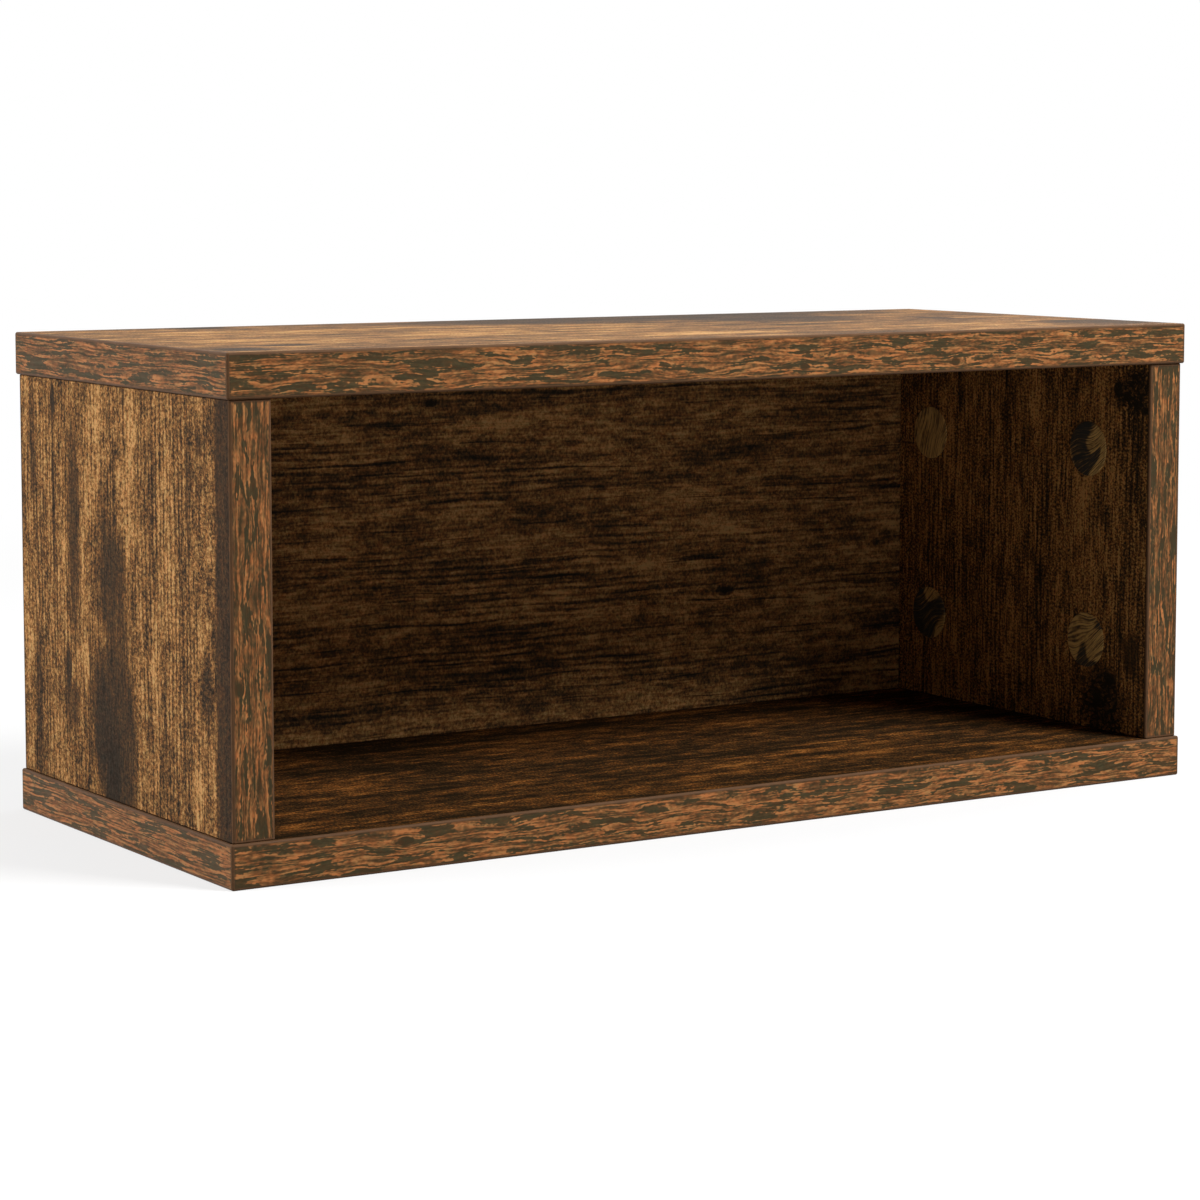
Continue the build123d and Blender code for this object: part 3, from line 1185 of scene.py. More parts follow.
@dataclass
class CamCovers:
    """Eight stick-on covers over the cams, one print with its own turn on each."""

    rim: float = 0.25 * MM
    crown: float = 0.04 * MM
    shoulder_share: float = 0.6
    shoulder_drop: float = 0.3
    rim_steps: int = 5
    steps: int = 96
    print_shift: float = 400.0
    seed: int = 4
    sharp: float = 40.0
    finish: CoverPrint = CoverPrint()

    CHANCE = "print_chance"

    def disc(self, radius: float, thickness: float) -> bpy.types.Object:
        """One cover: a thin disc with a rounded rim and a slight crown.

        Args:
            radius: Its radius.
            thickness: Its thickness.

        Returns:
            The disc, not linked to the scene.
        """
        outline = [(0.0, 0.0), (radius, 0.0)]
        for step in range(self.rim_steps + 1):
            angle = math.pi / 2 * step / self.rim_steps
            inward, downward = self.rim * (1 - math.cos(angle)), self.rim * (1 - math.sin(angle))
            outline.append((radius - inward, thickness - self.crown - downward))
        outline.append((radius * self.shoulder_share, thickness - self.crown * self.shoulder_drop))
        outline.append((0.0, thickness))
        return lathe(outline, self.steps, "cover_blank")

    def tree(self, blank: bpy.types.Object) -> Repeater:
        """The tree that sets the discs on their points and stores each print's place.

        Args:
            blank: The disc to repeat.

        Returns:
            The tree with its values.
        """
        repeater = Repeater(
            "cover_discs",
            Disc=blank,
            Print_Scale=PER_METRE,
            Print_Shift=self.print_shift,
            Seed=self.seed,
            Material=self.finish.material(),
        )
        g, given = repeater.graph, repeater.given
        disc = g.call("GeometryNodeObjectInfo", {"Object": given["Disc"]}).outputs["Geometry"]
        local = g.vector("SCALE", g.node("GeometryNodeInputPosition").outputs[0])
        g.feed(local.node.inputs["Scale"], given["Print Scale"])
        disc = repeater.store(disc, CoverPrint.PLACE, local, "FLOAT_VECTOR")
        copies = repeater.set_out(disc)
        index = g.node("GeometryNodeInputIndex").outputs[0]
        draw = {"Min": 0.0, "Max": 1.0, "ID": index, "Seed": given["Seed"]}
        chance = g.node("FunctionNodeRandomValue", data_type="FLOAT")
        for socket in chance.inputs:
            if socket.enabled and socket.name in draw:
                g.feed(socket, draw[socket.name])
        drawn = next(socket for socket in chance.outputs if socket.enabled)
        copies = repeater.store(copies, self.CHANCE, drawn, "FLOAT", "INSTANCE")
        luck = repeater.read(self.CHANCE, "FLOAT")
        spin = {"Vector": repeater.read(CoverPrint.PLACE), "Angle": g.times(luck, math.tau)}
        spun = g.call("ShaderNodeVectorRotate", spin, rotation_type="Z_AXIS").outputs[0]
        shift = g.times(luck, given["Print Shift"])
        moved = g.vector("ADD", spun, g.combine(shift, shift, 0.0))
        repeater.close(repeater.store(repeater.realise(copies), CoverPrint.PLACE, moved, "FLOAT_VECTOR"))
        return repeater

    def build(self) -> bpy.types.Object:
        """Makes the covers over the cams of both sides.

        Each disc's Z points out of the board's inner face, and its Y along the bolt.

        Returns:
            The piece.
        """
        nodes = [f"cover_{side}_{row}_{end}" for side, row, end in CAM_PLACES]
        places = []
        for node, (side, _, end) in zip(nodes, CAM_PLACES):
            low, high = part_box(node)
            out, along = Vector((-SIDES[side], 0, 0)), Vector((0, 0, ENDS[end]))
            turn = Matrix((along.cross(out), along, out)).transposed().to_4x4()
            middle = (low + high) / 2
            middle.x = high.x if SIDES[side] > 0 else low.x
            places.append(Matrix.Translation(middle) @ turn)
        low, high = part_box(nodes[-1])
        blank = self.disc((high.y - low.y) / 2, high.x - low.x)
        piece = self.tree(blank).fit(places, "cam_covers", nodes, "cover_disc", self.sharp)
        bpy.data.objects.remove(blank)
        return piece


@dataclass
class CamBolts:
    """Eight bolts with a round head and a helical thread, gripped by the cams."""

    head: float = 6.6 * MM
    neck: float = 3.6 * MM
    shank: float = 6.0 * MM
    collar: float = 7.6 * MM
    collar_length: float = 1.2 * MM
    crest: float = 6.0 * MM
    root: float = 4.4 * MM
    pitch: float = 2.0 * MM
    reach: float = 34.0 * MM
    shank_start: float = 8.0 * MM
    bevel: float = 0.25 * MM
    closing: float = 0.01 * MM
    weld: float = 0.001 * MM
    ridge_step: Pair = (0.12, 0.42)
    run_in: float = 0.8
    point_start: float = 0.93
    point_width: float = 0.7
    ball_steps: int = 14
    steps: int = 40
    rings: int = 80
    sharp: float = 35.0
    finish: Metal = Metal("bolt_steel", (0.62, 0.61, 0.58), (0.50, 0.47, 0.40), 0.34, 0.02, 1.2)

    def blank(self) -> bpy.types.Object:
        """Head, neck, shank and collar, turned about Z with the head's centre at the origin.

        Returns:
            The blank, not linked to the scene.
        """
        head, neck, shank, collar = self.head / 2, self.neck / 2, self.shank / 2, self.collar / 2
        start = math.asin(neck / head)
        outline = [(0.0, -head)]
        for step in range(1, self.ball_steps + 1):
            angle = math.pi - (math.pi - start) * step / self.ball_steps
            outline.append((head * math.sin(angle), head * math.cos(angle)))
        collar_start = self.reach - self.collar_length
        outline += [
            (neck, self.shank_start),
            (shank - self.bevel, self.shank_start),
            (shank, self.shank_start + self.bevel),
            (shank, collar_start),
            (collar - self.bevel, collar_start),
            (collar, collar_start + self.bevel),
            (collar, self.reach),
            (0.0, self.reach),
        ]
        return lathe(outline, self.steps, "bolt_blank")

    def thread_radius(self, g: Graph, given: Sockets, angle: Socket, height: Socket) -> Socket:
        """Radius of the thread, which is nothing at its first and last ring, so that both ends close.

        Args:
            g: The tree's graph.
            given: The tree's inputs.
            angle: Angle about the bolt.
            height: Distance from the thread's start.

        Returns:
            The radius.
        """
        length, pitch = given["Length"], given["Pitch"]
        turns = g.minus(g.math("DIVIDE", height, pitch), g.math("DIVIDE", angle, math.tau))
        ridge = g.fade(g.math("PINGPONG", turns, 0.5), *self.ridge_step)
        rise = g.minus(given["Crest Radius"], given["Root Radius"])
        run_in = g.fade(height, 0.0, g.times(pitch, self.run_in))
        run_out = g.fade(height, length, g.minus(length, pitch))
        radius = g.math("MULTIPLY_ADD", g.times(ridge, g.times(run_in, run_out)), rise, given["Root Radius"])
        point_end = g.fade(height, length, g.times(length, self.point_start), self.point_width, 1.0)
        beyond_start = g.math("GREATER_THAN", height, self.closing)
        before_tip = g.math("LESS_THAN", height, g.minus(length, self.closing))
        return g.times(g.times(radius, point_end), g.times(beyond_start, before_tip))

    def tree(self, blank: bpy.types.Object, thread_length: float) -> Repeater:
        """The tree that winds the thread and sets the bolts on their points.

        The thread's first ring is a point inside the collar and its last one a point at the tip.

        Args:
            blank: The turned part of the bolt.
            thread_length: Length of the thread, from the collar to the tip.

        Returns:
            The tree with its values.
        """
        lead = thread_length / (self.rings - 1)
        repeater = Repeater(
            "threaded_bolts",
            Blank=blank,
            Crest_Radius=self.crest / 2,
            Root_Radius=self.root / 2,
            Pitch=self.pitch,
            Length=thread_length + lead,
            Start=self.reach - lead,
            Around=self.steps + 1,
            Rings=self.rings + 1,
            Material=self.finish.material(),
        )
        g, given = repeater.graph, repeater.given
        size = {"Size X": 1.0, "Size Y": 1.0, "Vertices X": given["Around"], "Vertices Y": given["Rings"]}
        sheet = g.call("GeometryNodeMeshGrid", size).outputs[0]
        u, v, _ = g.split(g.node("GeometryNodeInputPosition").outputs[0])
        angle = g.times(g.sum(u, 0.5), math.tau)
        height = g.times(g.sum(v, 0.5), given["Length"])
        radius = self.thread_radius(g, given, angle, height)
        x, y = (g.times(radius, g.math(function, angle)) for function in ("COSINE", "SINE"))
        wound = g.combine(x, y, g.sum(height, given["Start"]))
        thread = g.call("GeometryNodeSetPosition", {"Geometry": sheet, "Position": wound}).outputs[0]
        thread = g.call("GeometryNodeMergeByDistance", {"Geometry": thread, "Distance": self.weld}).outputs[0]
        turned = g.call("GeometryNodeObjectInfo", {"Object": given["Blank"]}).outputs["Geometry"]
        bolt = g.node("GeometryNodeJoinGeometry")
        for body in (thread, turned):
            g.tree.links.new(body, bolt.inputs[0])
        repeater.close(repeater.set_out(bolt.outputs[0]))
        return repeater

    def build(self) -> bpy.types.Object:
        """Makes the bolts at all eight cams.

        Returns:
            The piece.
        """
        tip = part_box("top_cam_bolts")[1]
        thread_length = tip.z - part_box("left_side_board")[1].z
        places = []
        for side, row, end in CAM_PLACES:
            low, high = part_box(f"cover_{side}_{row}_{end}")
            middle = (low + high) / 2
            middle.x = (tip.x - self.collar / 2) * SIDES[side]
            turn = Matrix.Rotation(0 if ENDS[end] > 0 else math.pi, 4, "X")
            places.append(Matrix.Translation(middle) @ turn)
        blank = self.blank()
        nodes = [f"{end}_cam_bolts" for end in ENDS]
        piece = self.tree(blank, thread_length).fit(places, "cam_bolts", nodes, "bolt_steel", self.sharp)
        bpy.data.objects.remove(blank)
        return piece


@dataclass
class Dowels:
    """Twelve fluted dowels between the boards."""

    radius: float = 4.0 * MM
    length: float = 30.0 * MM
    in_face: float = 10.0 * MM
    chamfer: float = 0.8 * MM
    flutes: int = 16
    flute_depth: float = 0.22 * MM
    flute_sharpness: float = 3.0
    faces_per_flute: int = 6
    rings: int = 40
    cap_rings: int = 3
    rim_step: Pair = (0.99, 0.999)
    sharp: float = 35.0
    finish: Beech = Beech()

    def tree(self) -> Repeater:
        """The tree that turns a fluted pin and sets it on each point.

        Returns:
            The tree with its values.
        """
        repeater = Repeater(
            "fluted_dowels",
            Radius=self.radius,
            Length=self.length,
            In_Face=self.in_face,
            Chamfer=self.chamfer,
            Flutes=self.flutes,
            Flute_Depth=self.flute_depth,
            Around=self.flutes * self.faces_per_flute,
            Rings=self.rings,
            Cap_Rings=self.cap_rings,
            Material=self.finish.material(),
        )
        g, given = repeater.graph, repeater.given
        radius, half_length = given["Radius"], g.times(given["Length"], 0.5)
        size = {
            "Vertices": given["Around"],
            "Side Segments": given["Rings"],
            "Fill Segments": given["Cap Rings"],
            "Radius": radius,
            "Depth": given["Length"],
        }
        pin = g.call("GeometryNodeMeshCylinder", size, fill_type="TRIANGLE_FAN").outputs["Mesh"]
        x, y, z = g.split(g.node("GeometryNodeInputPosition").outputs[0])
        distance = g.vector("LENGTH", g.combine(x, y, 0.0))
        rim = g.fade(distance, *(g.times(radius, share) for share in self.rim_step))
        angle = g.math("ARCTAN2", y, x)
        wave = g.math("MULTIPLY_ADD", g.math("COSINE", g.times(angle, given["Flutes"])), 0.5, 0.5)
        groove = g.times(g.math("POWER", wave, self.flute_sharpness), given["Flute Depth"])
        from_end = g.minus(half_length, g.math("ABSOLUTE", z))
        cone = g.math("MAXIMUM", g.minus(given["Chamfer"], from_end), 0.0)
        share = g.minus(1.0, g.math("DIVIDE", g.times(g.sum(groove, cone), rim), radius))
        raised = g.sum(z, g.minus(half_length, given["In Face"]))
        shaped = g.combine(g.times(x, share), g.times(y, share), raised)
        pin = g.call("GeometryNodeSetPosition", {"Geometry": pin, "Position": shaped}).outputs[0]
        repeater.close(repeater.set_out(pin))
        return repeater

    def build(self) -> bpy.types.Object:
        """Makes the dowels of both sides and the back.

        Returns:
            The piece.
        """
        nodes = ("left_dowels", "right_dowels", "back_dowels")
        spots = []
        for node in nodes:
            low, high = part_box(node)
            middle = (low + high) / 2
            if node == "back_dowels":
                spots += [(low.x + self.radius, middle.y), (high.x - self.radius, middle.y)]
            else:
                spots += [(middle.x, low.y + self.radius), (middle.x, high.y - self.radius)]
        low_joint, high_joint = (corner.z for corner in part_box("left_side_board"))
        flip = Matrix.Rotation(math.pi, 4, "X")
        places = []
        for x, y in spots:
            places.append(Matrix.Translation((x, y, low_joint)))
            places.append(Matrix.Translation((x, y, high_joint)) @ flip)
        return self.tree().fit(places, "dowels", nodes, "dowel_beech", self.sharp)


# Each row: kind; middle across and along; half size across and along; strength, soft, ragged and taper.
LEFT_OUTER = MarkedFace(-199.0, (
    Mark(BROWN, -79.5, 86.0, 8.3, 180.0, 0.95, 0.06, 0.25),
    Mark(DARK, -82.8, 60.0, 2.0, 75.0, 0.45, 0.4),
    Mark(RIBS, -36.0, 84.0, 22.0, 110.0, 0.9, 0.5),
    Mark(DARK, 54.8, 150.0, 2.1, 8.5, 1.0, 0.15, 1.2, -0.35),
    Mark(DARK, 54.8, 112.0, 0.9, 38.0, 0.5, 0.4),
    Mark(DARK, 38.0, 104.0, 4.8, 40.0, 0.72, 0.4),
    Mark(DARK, 40.5, 92.0, 3.2, 20.0, 0.3, 0.5),
    Mark(DARK, 73.0, 136.0, 2.2, 26.0, 0.5, 0.5),
    Mark(DARK, 82.0, 124.0, 1.6, 22.0, 0.4, 0.5),
    Mark(GOLD, 23.0, 117.5, 4.2, 11.0, 1.0, 0.5, 1.2, 0.45),
    Mark(GOLD, 21.5, 143.0, 5.0, 13.0, 0.7, 0.7),
    Mark(GOLD, 7.0, 112.0, 2.6, 12.0, 0.6, 0.6),
    Mark(GOLD, 58.5, 92.0, 2.8, 36.0, 0.45, 0.6),
    Mark(GOLD, 67.0, 112.0, 2.2, 36.0, 0.45, 0.6),
    Mark(GOLD, 47.5, 116.0, 2.6, 30.0, 0.35, 0.6),
    Mark(GOLD, -22.0, 112.0, 30.0, 42.0, 0.38, 0.9),
    Mark(DARK, 14.0, 110.0, 3.0, 13.0, 0.42, 0.6),
    Mark(DARK, 7.0, 88.0, 11.5, 22.0, 0.75, 0.4, 1.0),
    Mark(DARK, 3.0, 68.0, 9.5, 18.0, 0.62, 0.6, 1.1),
    Mark(DARK, 8.5, 46.0, 21.5, 30.0, 0.76, 0.1, 0.9),
    Mark(DARK, -1.0, 32.0, 12.2, 44.0, 0.8, 0.04, 0.3),
    Mark(DARK, 14.0, 40.0, 10.5, 22.0, 0.95, 0.3, 0.8),
    Mark(DARK, 7.0, 24.0, 8.0, 18.0, 1.1, 0.4, 0.9),
    Mark(DARK, 43.7, 56.0, 3.0, 9.0, 0.95, 0.2, 1.2, 0.3),
    Mark(DARK, 40.5, 45.0, 6.5, 9.0, 0.6, 0.5),
    Mark(GOLD, 28.5, 58.0, 2.2, 11.0, 1.0, 0.3, 1.2, 0.5),
    Mark(DARK, 70.0, 46.0, 2.6, 28.0, 0.6, 0.4),
    Mark(GOLD, 78.0, 60.0, 4.6, 14.0, 0.75, 0.6),
    Mark(GOLD, 57.0, 36.0, 2.5, 9.0, 0.6, 0.6),
    Mark(GOLD, -27.0, 64.0, 3.0, 9.0, 0.85, 0.5),
    Mark(GOLD, -16.0, 30.0, 3.0, 14.0, 0.3, 0.6),
    Mark(CURL, -66.5, 104.0, 8.0, 14.0, 1.0, 0.4),
    Mark(GOLD, -66.0, 122.0, 4.0, 24.0, 0.55, 0.5),
    Mark(GOLD, -64.5, 84.0, 5.2, 11.0, 0.8, 0.2, 0.6, -0.5),
    Mark(CURL, -65.5, 64.0, 6.5, 8.0, 1.0, 0.4),
    Mark(DARK, -66.0, 62.0, 4.0, 8.0, 0.45, 0.5),
    Mark(GOLD, -59.0, 26.0, 4.6, 12.0, 0.9, 0.5, 1.2, 0.3),
    Mark(DARK, -53.0, 124.0, 0.9, 22.0, 0.6, 0.5),
    Mark(DARK, -61.5, 142.0, 2.6, 4.0, 0.5, 0.6),
))

RIGHT_INNER = MarkedFace(184.0, (
    Mark(CURL, -74.0, 147.0, 13.0, 9.0),
    Mark(DARK, -74.0, 146.0, 11.0, 7.0, 0.4, 0.5, 0.6),
    Mark(DARK, -66.0, 146.4, 2.6, 3.0, 1.3, 0.4, 0.6),
    Mark(DARK, -71.5, 143.6, 3.0, 1.6, 1.3, 0.4, 0.6),
    Mark(DARK, -77.0, 141.4, 3.2, 1.4, 1.3, 0.4, 0.6),
    Mark(DARK, -82.0, 139.2, 3.2, 1.4, 1.3, 0.4, 0.6),
    Mark(CURL, -58.0, 24.0, 15.0, 15.0),
    Mark(DARK, -58.0, 27.0, 12.0, 13.0, 0.5, 0.6, 0.8),
    Mark(DARK, -63.4, 35.0, 3.4, 2.6, 1.2, 0.5, 0.6),
    Mark(DARK, -56.5, 27.0, 2.6, 4.0, 1.2, 0.5, 0.6),
    Mark(DARK, -54.0, 13.5, 4.2, 3.2, 0.9, 0.6),
    Mark(DARK, -75.0, 46.0, 4.0, 8.0, 0.7, 0.6),
    Mark(GOLD, -45.7, 99.0, 2.4, 9.0, 0.9, 0.6),
    Mark(GOLD, -55.0, 90.0, 2.0, 5.0, 0.7, 0.6),
))

RIGHT_OUTER = MarkedFace(199.0, (
    Mark(DARK, 30.0, 128.0, 5.0, 32.0, 0.7, 0.4),
    Mark(DARK, -34.0, 40.0, 14.0, 36.0, 0.8, 0.4, 1.0),
    Mark(DARK, -38.0, 66.0, 6.0, 34.0, 0.6, 0.5),
    Mark(GOLD, 4.0, 96.0, 9.0, 38.0, 0.5, 0.8),
    Mark(GOLD, 62.0, 50.0, 5.0, 24.0, 0.6, 0.7),
    Mark(CURL, 58.0, 92.0, 8.0, 14.0, 1.0, 0.4),
))

TOP_OUTER = MarkedFace(172.0, (
    Mark(DARK, 66.0, 22.0, 27.0, 84.0, 0.8, 0.5),
    Mark(DARK, 48.0, 92.0, 44.0, 42.0, 0.8, 0.4, 1.2, 0.3),
    Mark(DARK, 84.0, 110.0, 24.0, 60.0, 0.65, 0.6),
    Mark(DARK, 30.0, 110.0, 70.0, 100.0, 0.2, 0.5),
    Mark(DARK, 78.0, -131.0, 11.0, 10.0, 0.9, 0.4),
    Mark(DARK, -52.0, -163.0, 5.0, 11.0, 0.9, 0.4),
    Mark(DARK, -68.0, -186.0, 11.0, 10.0, 0.8, 0.4),
    Mark(DARK, 6.0, 152.0, 17.0, 6.0, 0.7, 0.5, 1.2, 0.4),
    Mark(DARK, -56.0, 184.0, 20.0, 22.0, 0.65, 0.6),
    Mark(DARK, 30.0, 184.0, 20.0, 20.0, 0.4, 0.7),
    Mark(DARK, -74.0, 58.0, 8.0, 30.0, 0.4, 0.7),
    Mark(GOLD, -56.0, 0.0, 13.0, 26.0, 0.7, 0.6),
    Mark(GOLD, -18.0, -163.0, 9.0, 20.0, 0.55, 0.6),
    Mark(GOLD, -15.0, -73.0, 12.0, 22.0, 0.45, 0.6),
    Mark(GOLD, 16.0, 17.0, 9.0, 10.0, 0.45, 0.6),
    Mark(GOLD, -52.0, 140.0, 12.0, 24.0, 0.4, 0.6),
))

BACK_INNER = MarkedFace(69.0, (
    Mark(KNOT, 141.9, -39.5, 1.4, 2.6, 1.0, 0.3, 0.9),
    Mark(KNOT, 62.0, 96.0, 2.2, 3.8, 1.0, 0.3, 0.9),
))

BACK_OUTER = MarkedFace(84.0, (
    Mark(DARK, 58.0, -92.0, 20.0, 52.0, 0.8, 0.4, 1.0),
    Mark(DARK, 74.0, -60.0, 9.0, 64.0, 0.6, 0.5),
    Mark(DARK, 122.0, 96.0, 8.0, 46.0, 0.7, 0.5),
    Mark(DARK, 40.0, 138.0, 6.0, 22.0, 0.6, 0.5),
    Mark(GOLD, 104.0, -20.0, 12.0, 60.0, 0.55, 0.8),
    Mark(GOLD, 66.0, 62.0, 7.0, 34.0, 0.55, 0.7),
    Mark(CURL, 88.0, 24.0, 12.0, 12.0, 1.0, 0.4),
    Mark(KNOT, 96.0, 120.0, 1.8, 3.4, 1.0, 0.3, 0.9),
))

TOP_BAND = MarkedFace(-85.0, (
    Mark(KNOT, 160.8, 23.6, 1.5, 2.2, 1.0, 0.2, 0.4),
    Mark(KNOT, 160.6, 90.5, 1.5, 2.0, 1.0, 0.2, 0.4),
))

BOTTOM_BAND = MarkedFace(-85.0, (
    Mark(KNOT, 9.8, -137.0, 1.9, 2.8, 1.0, 0.2, 0.4),
))

SIDE_BAND = MarkedFace(-84.0, (
    Mark(KNOT, -196.1, 64.6, 1.6, 2.6, 1.0, 0.2, 0.4),
))


@dataclass
class Boards:
    """The five laminated boards and their edge bands."""

    laminates: tuple[Laminate, ...] = (
        Laminate(
            "left_side_board", Lie.UPRIGHT_SIDE, (310.0, 40.0, 12.0), (LEFT_OUTER,),
            FaceLook(lightness=0.009, figure=0.64, grain=0.68, tint=(1.02, 0.985, 0.96)), dark_level=0.19,
        ),
        Laminate(
            "right_side_board", Lie.UPRIGHT_SIDE, (-520.0, 330.0, 60.0), (RIGHT_INNER, RIGHT_OUTER),
            FaceLook(figure=0.7),
            # The inner face's warm tint is painted shade: the warm bounce light inside the bay, painted into
            # its colour.
            FaceLook(
                lightness=0.02, figure=0.76, grain=0.94, long_streaks=1.3, vein=-0.40, tint=(1.0, 0.90, 0.70)
            ),
        ),
        Laminate(
            "top_board", Lie.LENGTHWISE_FLAT, (90.0, 700.0, 30.0), (TOP_OUTER,),
            FaceLook(lightness=0.035, figure=0.7, grain=0.34), specular=0.06,
        ),
        Laminate(
            "bottom_board", Lie.LENGTHWISE_FLAT, (700.0, -260.0, 5.0), (),
            # Painted shade: the bay floor's face is printed darker and warmer than the underside, for the
            # shade and warm bounce light inside the bay.
            FaceLook(lightness=-0.28, figure=0.85, tint=(0.83, 0.62, 0.38)),
            FaceLook(lightness=-0.05, figure=0.8), specular=0.0,
        ),
        Laminate(
            "back_board", Lie.LENGTHWISE_UPRIGHT, (1200.0, 90.0, 44.0), (BACK_INNER, BACK_OUTER),
            FaceLook(lightness=0.04, figure=0.7, grain=0.52),
            # The inner face is printed lighter than the outer: painted light that lifts it against the shade
            # under the top board.
            FaceLook(lightness=0.07, figure=0.75, grain=0.50, long_streaks=1.35, tint=(1.0, 0.97, 0.90)),
        ),
    )

    bands: tuple[EdgeBand, ...] = (
        EdgeBand(
            "bottom_long_band", "bottom", LONG_EDGES, Lie.LENGTHWISE_UPRIGHT, (0.0, 37.0, 0.0),
            (BOTTOM_BAND,), lightness=0.032,
        ),
        # The bottom's end bands are printed lighter than the top's: painted light that offsets the weaker
        # light near the floor.
        EdgeBand(
            "bottom_end_band", "bottom", END_EDGES, Lie.END_BAND, (50.0, 400.0, 0.0),
            lightness=0.072, specular=0.10, stretch=1.6,
        ),
        EdgeBand(
            "top_long_band", "top", LONG_EDGES, Lie.LENGTHWISE_UPRIGHT, (0.0, 37.0, 0.0), (TOP_BAND,),
        ),
        EdgeBand(
            "top_end_band", "top", END_EDGES, Lie.END_BAND, (50.0, 400.0, 0.0), specular=0.10, stretch=1.6,
        ),
        EdgeBand(
            "left_upright_band", "left_side", LONG_EDGES, Lie.UPRIGHT_BAND, (0.0, 800.0, 0.0),
            (SIDE_BAND,), lightness=-0.03,
        ),
        EdgeBand(
            "right_upright_band", "right_side", LONG_EDGES, Lie.UPRIGHT_BAND, (0.0, 800.0, 0.0),
            (SIDE_BAND,), lightness=-0.10,
        ),
    )

    def dress_boards(self) -> None:
        """Gives each board its laminate."""
        for laminate in self.laminates:
            dress(bpy.data.objects[laminate.board], laminate.material())
            log.info("dressed %s", laminate.board)

    def banded_box(self, board: str) -> tuple[Vector, Vector]:
        """The box round a board and its bands.

        Args:
            board: The first part of their names.

        Returns:
            Its lowest and highest corner.
        """
        nodes = [node for band in self.bands if band.board == board for node in band.nodes()]
        boxes = [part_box(node) for node in (f"{board}_board", *nodes)]
        low = Vector(min(box[0][axis] for box in boxes) for axis in range(3))
        high = Vector(max(box[1][axis] for box in boxes) for axis in range(3))
        return low, high

    def dress_bands(self) -> None:
        """Gives the bands of each board their print, along the edge they cover."""
        for band in self.bands:
            low, high = self.banded_box(band.board)
            for node in band.nodes():
                dress(bpy.data.objects[node], band.material(low, high))
                log.info("dressed %s", node)


@dataclass
class Cams:
    """The eight cam locks and their cast finish."""

    finish: Metal = Metal("cam_zinc", (0.55, 0.56, 0.58), (0.40, 0.40, 0.41), 0.46, 0.05)

    def dress_cams(self) -> None:
        """Gives each cam the cast finish."""
        material = self.finish.material()
        for side, row, end in CAM_PLACES:
            dress(bpy.data.objects[f"cam_{side}_{row}_{end}"], material)
            log.info("dressed cam_%s_%s_%s", side, row, end)


@dataclass(frozen=True)
class SoftLamp:
    """A soft area lamp that shines at the rack's middle."""

    name: str
    place: Triple
    size: float
    power: float
    target: Triple = (0.0, 0.0, 0.1)

    def build(self) -> None:
        """Adds the lamp to the scene."""
        data = bpy.data.lights.new(self.name, "AREA")
        data.shape = "SQUARE"
        data.size = self.size
        data.energy = self.power
        lamp = bpy.data.objects.new(self.name, data)
        lamp.location = self.place
        toward = Vector(self.target) - Vector(self.place)
        lamp.rotation_euler = toward.to_track_quat("-Z", "Y").to_euler()
        bpy.context.scene.collection.objects.link(lamp)


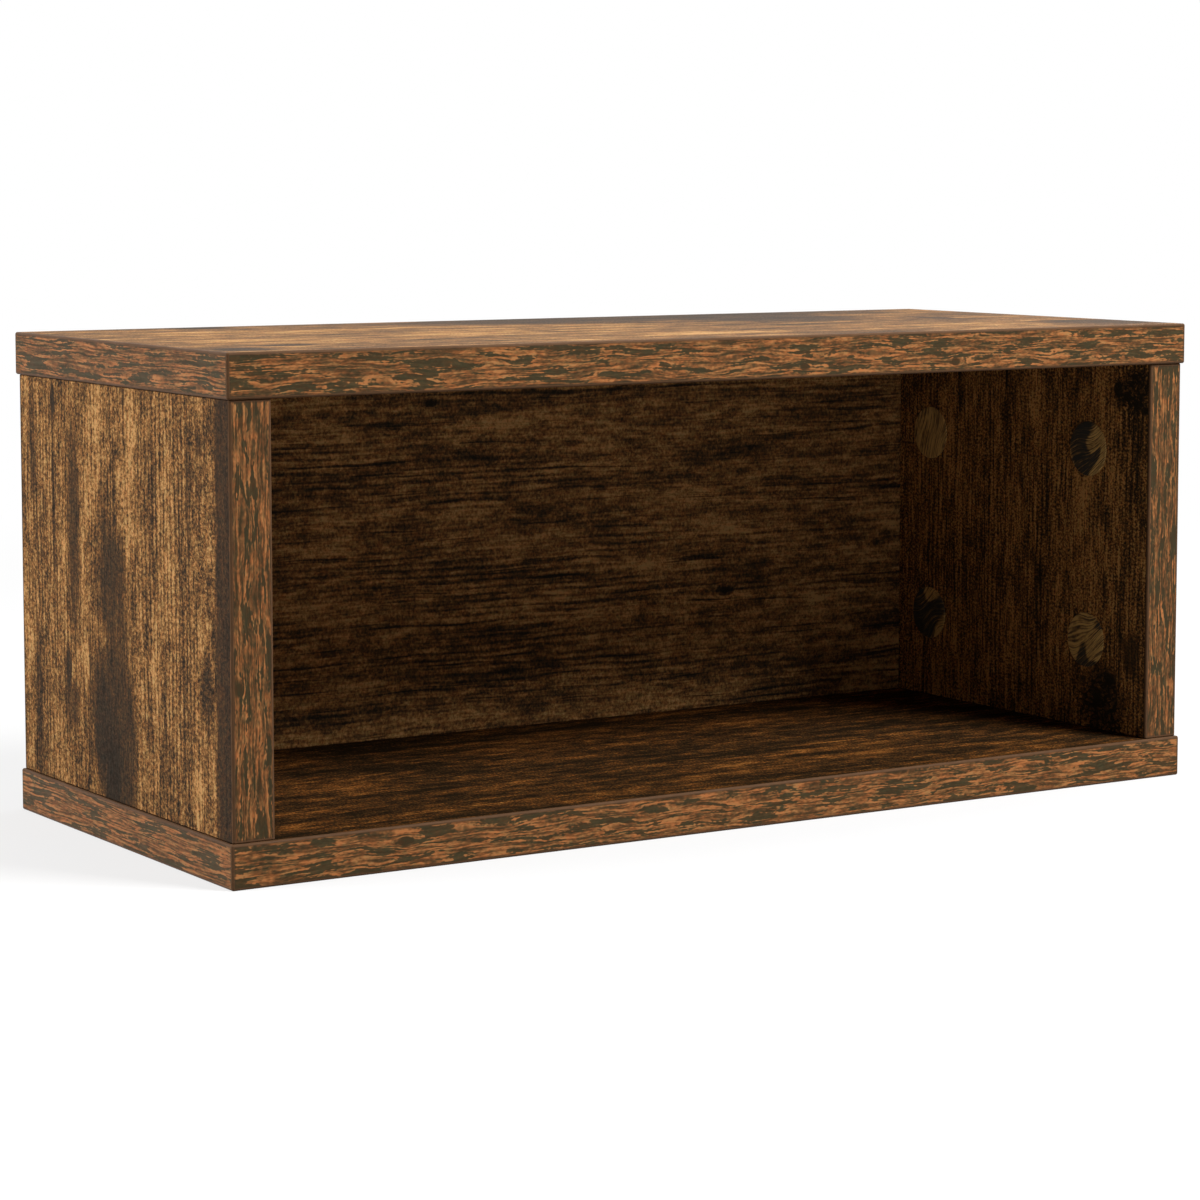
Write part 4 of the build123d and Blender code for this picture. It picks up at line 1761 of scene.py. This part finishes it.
@dataclass
class Studio:
    """White studio: floor, world, lamps and the camera at the photograph's viewing angle."""

    floor_radius: float = 4.0
    floor_steps: int = 96
    fade_start: float = 0.4
    fade_end: float = 1.1
    shadow_share: float = 0.30
    floor_seen: Colour = (0.95, 0.95, 0.95)
    floor_bounce: Colour = (0.30, 0.30, 0.30)
    white: Colour = (1.0, 1.0, 1.0)
    ambient: float = 0.10
    camera_place: Triple = (-0.6757, -1.0524, 0.2270)
    camera_yaw: float = 32.424
    camera_pitch: float = 5.477
    camera_lens: float = 102.43
    camera_sensor: float = 36.0
    camera_shift: float = -0.08
    camera_range: Pair = (0.01, 50.0)
    lamps: tuple[SoftLamp, ...] = (
        SoftLamp("overhead", (-0.10, 0.25, 1.4), 0.9, 3.0),
        SoftLamp("left", (-1.5, 0.45, 0.75), 0.9, 20.0),
        SoftLamp("front_high", (0.75, -1.10, 1.40), 0.7, 42.0),
        SoftLamp("right_back", (1.5, 0.5, 0.7), 0.9, 9.0),
    )

    def shown_white(self, g: Graph) -> Socket:
        """Finds the rays that meet white surroundings.

        Args:
            g: The graph that it is added to.

        Returns:
            1 for a camera, glossy or transmission ray, 0 for any other.
        """
        path = g.node("ShaderNodeLightPath").outputs
        seen = g.math("MAXIMUM", path["Is Camera Ray"], path["Is Glossy Ray"])
        return g.math("MAXIMUM", seen, path["Is Transmission Ray"])

    def build_world(self) -> None:
        """Makes a white world that lights the object weakly."""
        world = bpy.data.worlds.new("studio")
        world.use_nodes = True
        g = Graph(world.node_tree)
        inputs = world.node_tree.nodes["Background"].inputs
        g.feed(inputs["Color"], self.white)
        g.feed(inputs["Strength"], g.fade(self.shown_white(g), 0.0, 1.0, self.ambient, 1.0))
        bpy.context.scene.world = world

    def floor_finish(self) -> bpy.types.Material:
        """A pale floor that fades to white away from the object and keeps its shadow.

        Returns:
            The material.
        """
        surface = Surface("floor_white")
        g = surface.graph
        shade = g.mix(self.shown_white(g), self.floor_bounce, self.floor_seen)
        distance = g.vector("LENGTH", g.node("ShaderNodeTexCoord").outputs["Object"])
        fading = g.fade(distance, self.fade_start, self.fade_end, 1.0 - self.shadow_share, 1.0)
        share = g.times(fading, self.shown_white(g))
        glow = g.call("ShaderNodeEmission", {"Color": self.white, "Strength": 1.0}).outputs[0]
        both = g.call("ShaderNodeMixShader", {0: share, 1: surface.shader.outputs[0], 2: glow}).outputs[0]
        g.feed(g.tree.nodes["Material Output"].inputs["Surface"], both)
        return surface.finish(shade, 1.0, Specular_IOR_Level=0.0)

    def build_floor(self) -> None:
        """Lays the round floor."""
        shape = bmesh.new()
        bmesh.ops.create_circle(shape, cap_ends=True, segments=self.floor_steps, radius=self.floor_radius)
        mesh = bpy.data.meshes.new("floor")
        shape.to_mesh(mesh)
        shape.free()
        floor = bpy.data.objects.new("floor", mesh)
        bpy.context.scene.collection.objects.link(floor)
        dress(floor, self.floor_finish())

    def build_camera(self) -> None:
        """Sets the camera where the corners of the boards in the photograph put it."""
        data = bpy.data.cameras.new("camera")
        data.lens = self.camera_lens
        data.sensor_width = self.camera_sensor
        data.shift_y = self.camera_shift
        data.clip_start, data.clip_end = self.camera_range
        camera = bpy.data.objects.new("camera", data)
        camera.location = self.camera_place
        pitch, yaw = math.radians(90 - self.camera_pitch), math.radians(-self.camera_yaw)
        camera.rotation_euler = (pitch, 0.0, yaw)
        bpy.context.scene.collection.objects.link(camera)
        bpy.context.scene.camera = camera

    def build(self) -> None:
        """Sets up the whole studio."""
        bpy.context.scene.view_settings.view_transform = "Standard"
        self.build_world()
        self.build_floor()
        self.build_camera()
        for lamp in self.lamps:
            lamp.build()
        log.info("studio with %d lamps", len(self.lamps))


def main() -> None:
    """Dresses the rack, adds its repeated pieces and sets up the studio."""
    logging.basicConfig(level=logging.INFO, format="%(name)s: %(message)s")
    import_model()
    Studio().build()
    boards = Boards()
    boards.dress_boards()
    boards.dress_bands()
    Cams().dress_cams()
    for assembly in (CamCovers(), CamBolts(), Dowels()):
        piece = assembly.build()
        log.info("built %s with %d faces", piece.name, len(piece.data.polygons))


if __name__ == "__main__":
    main()
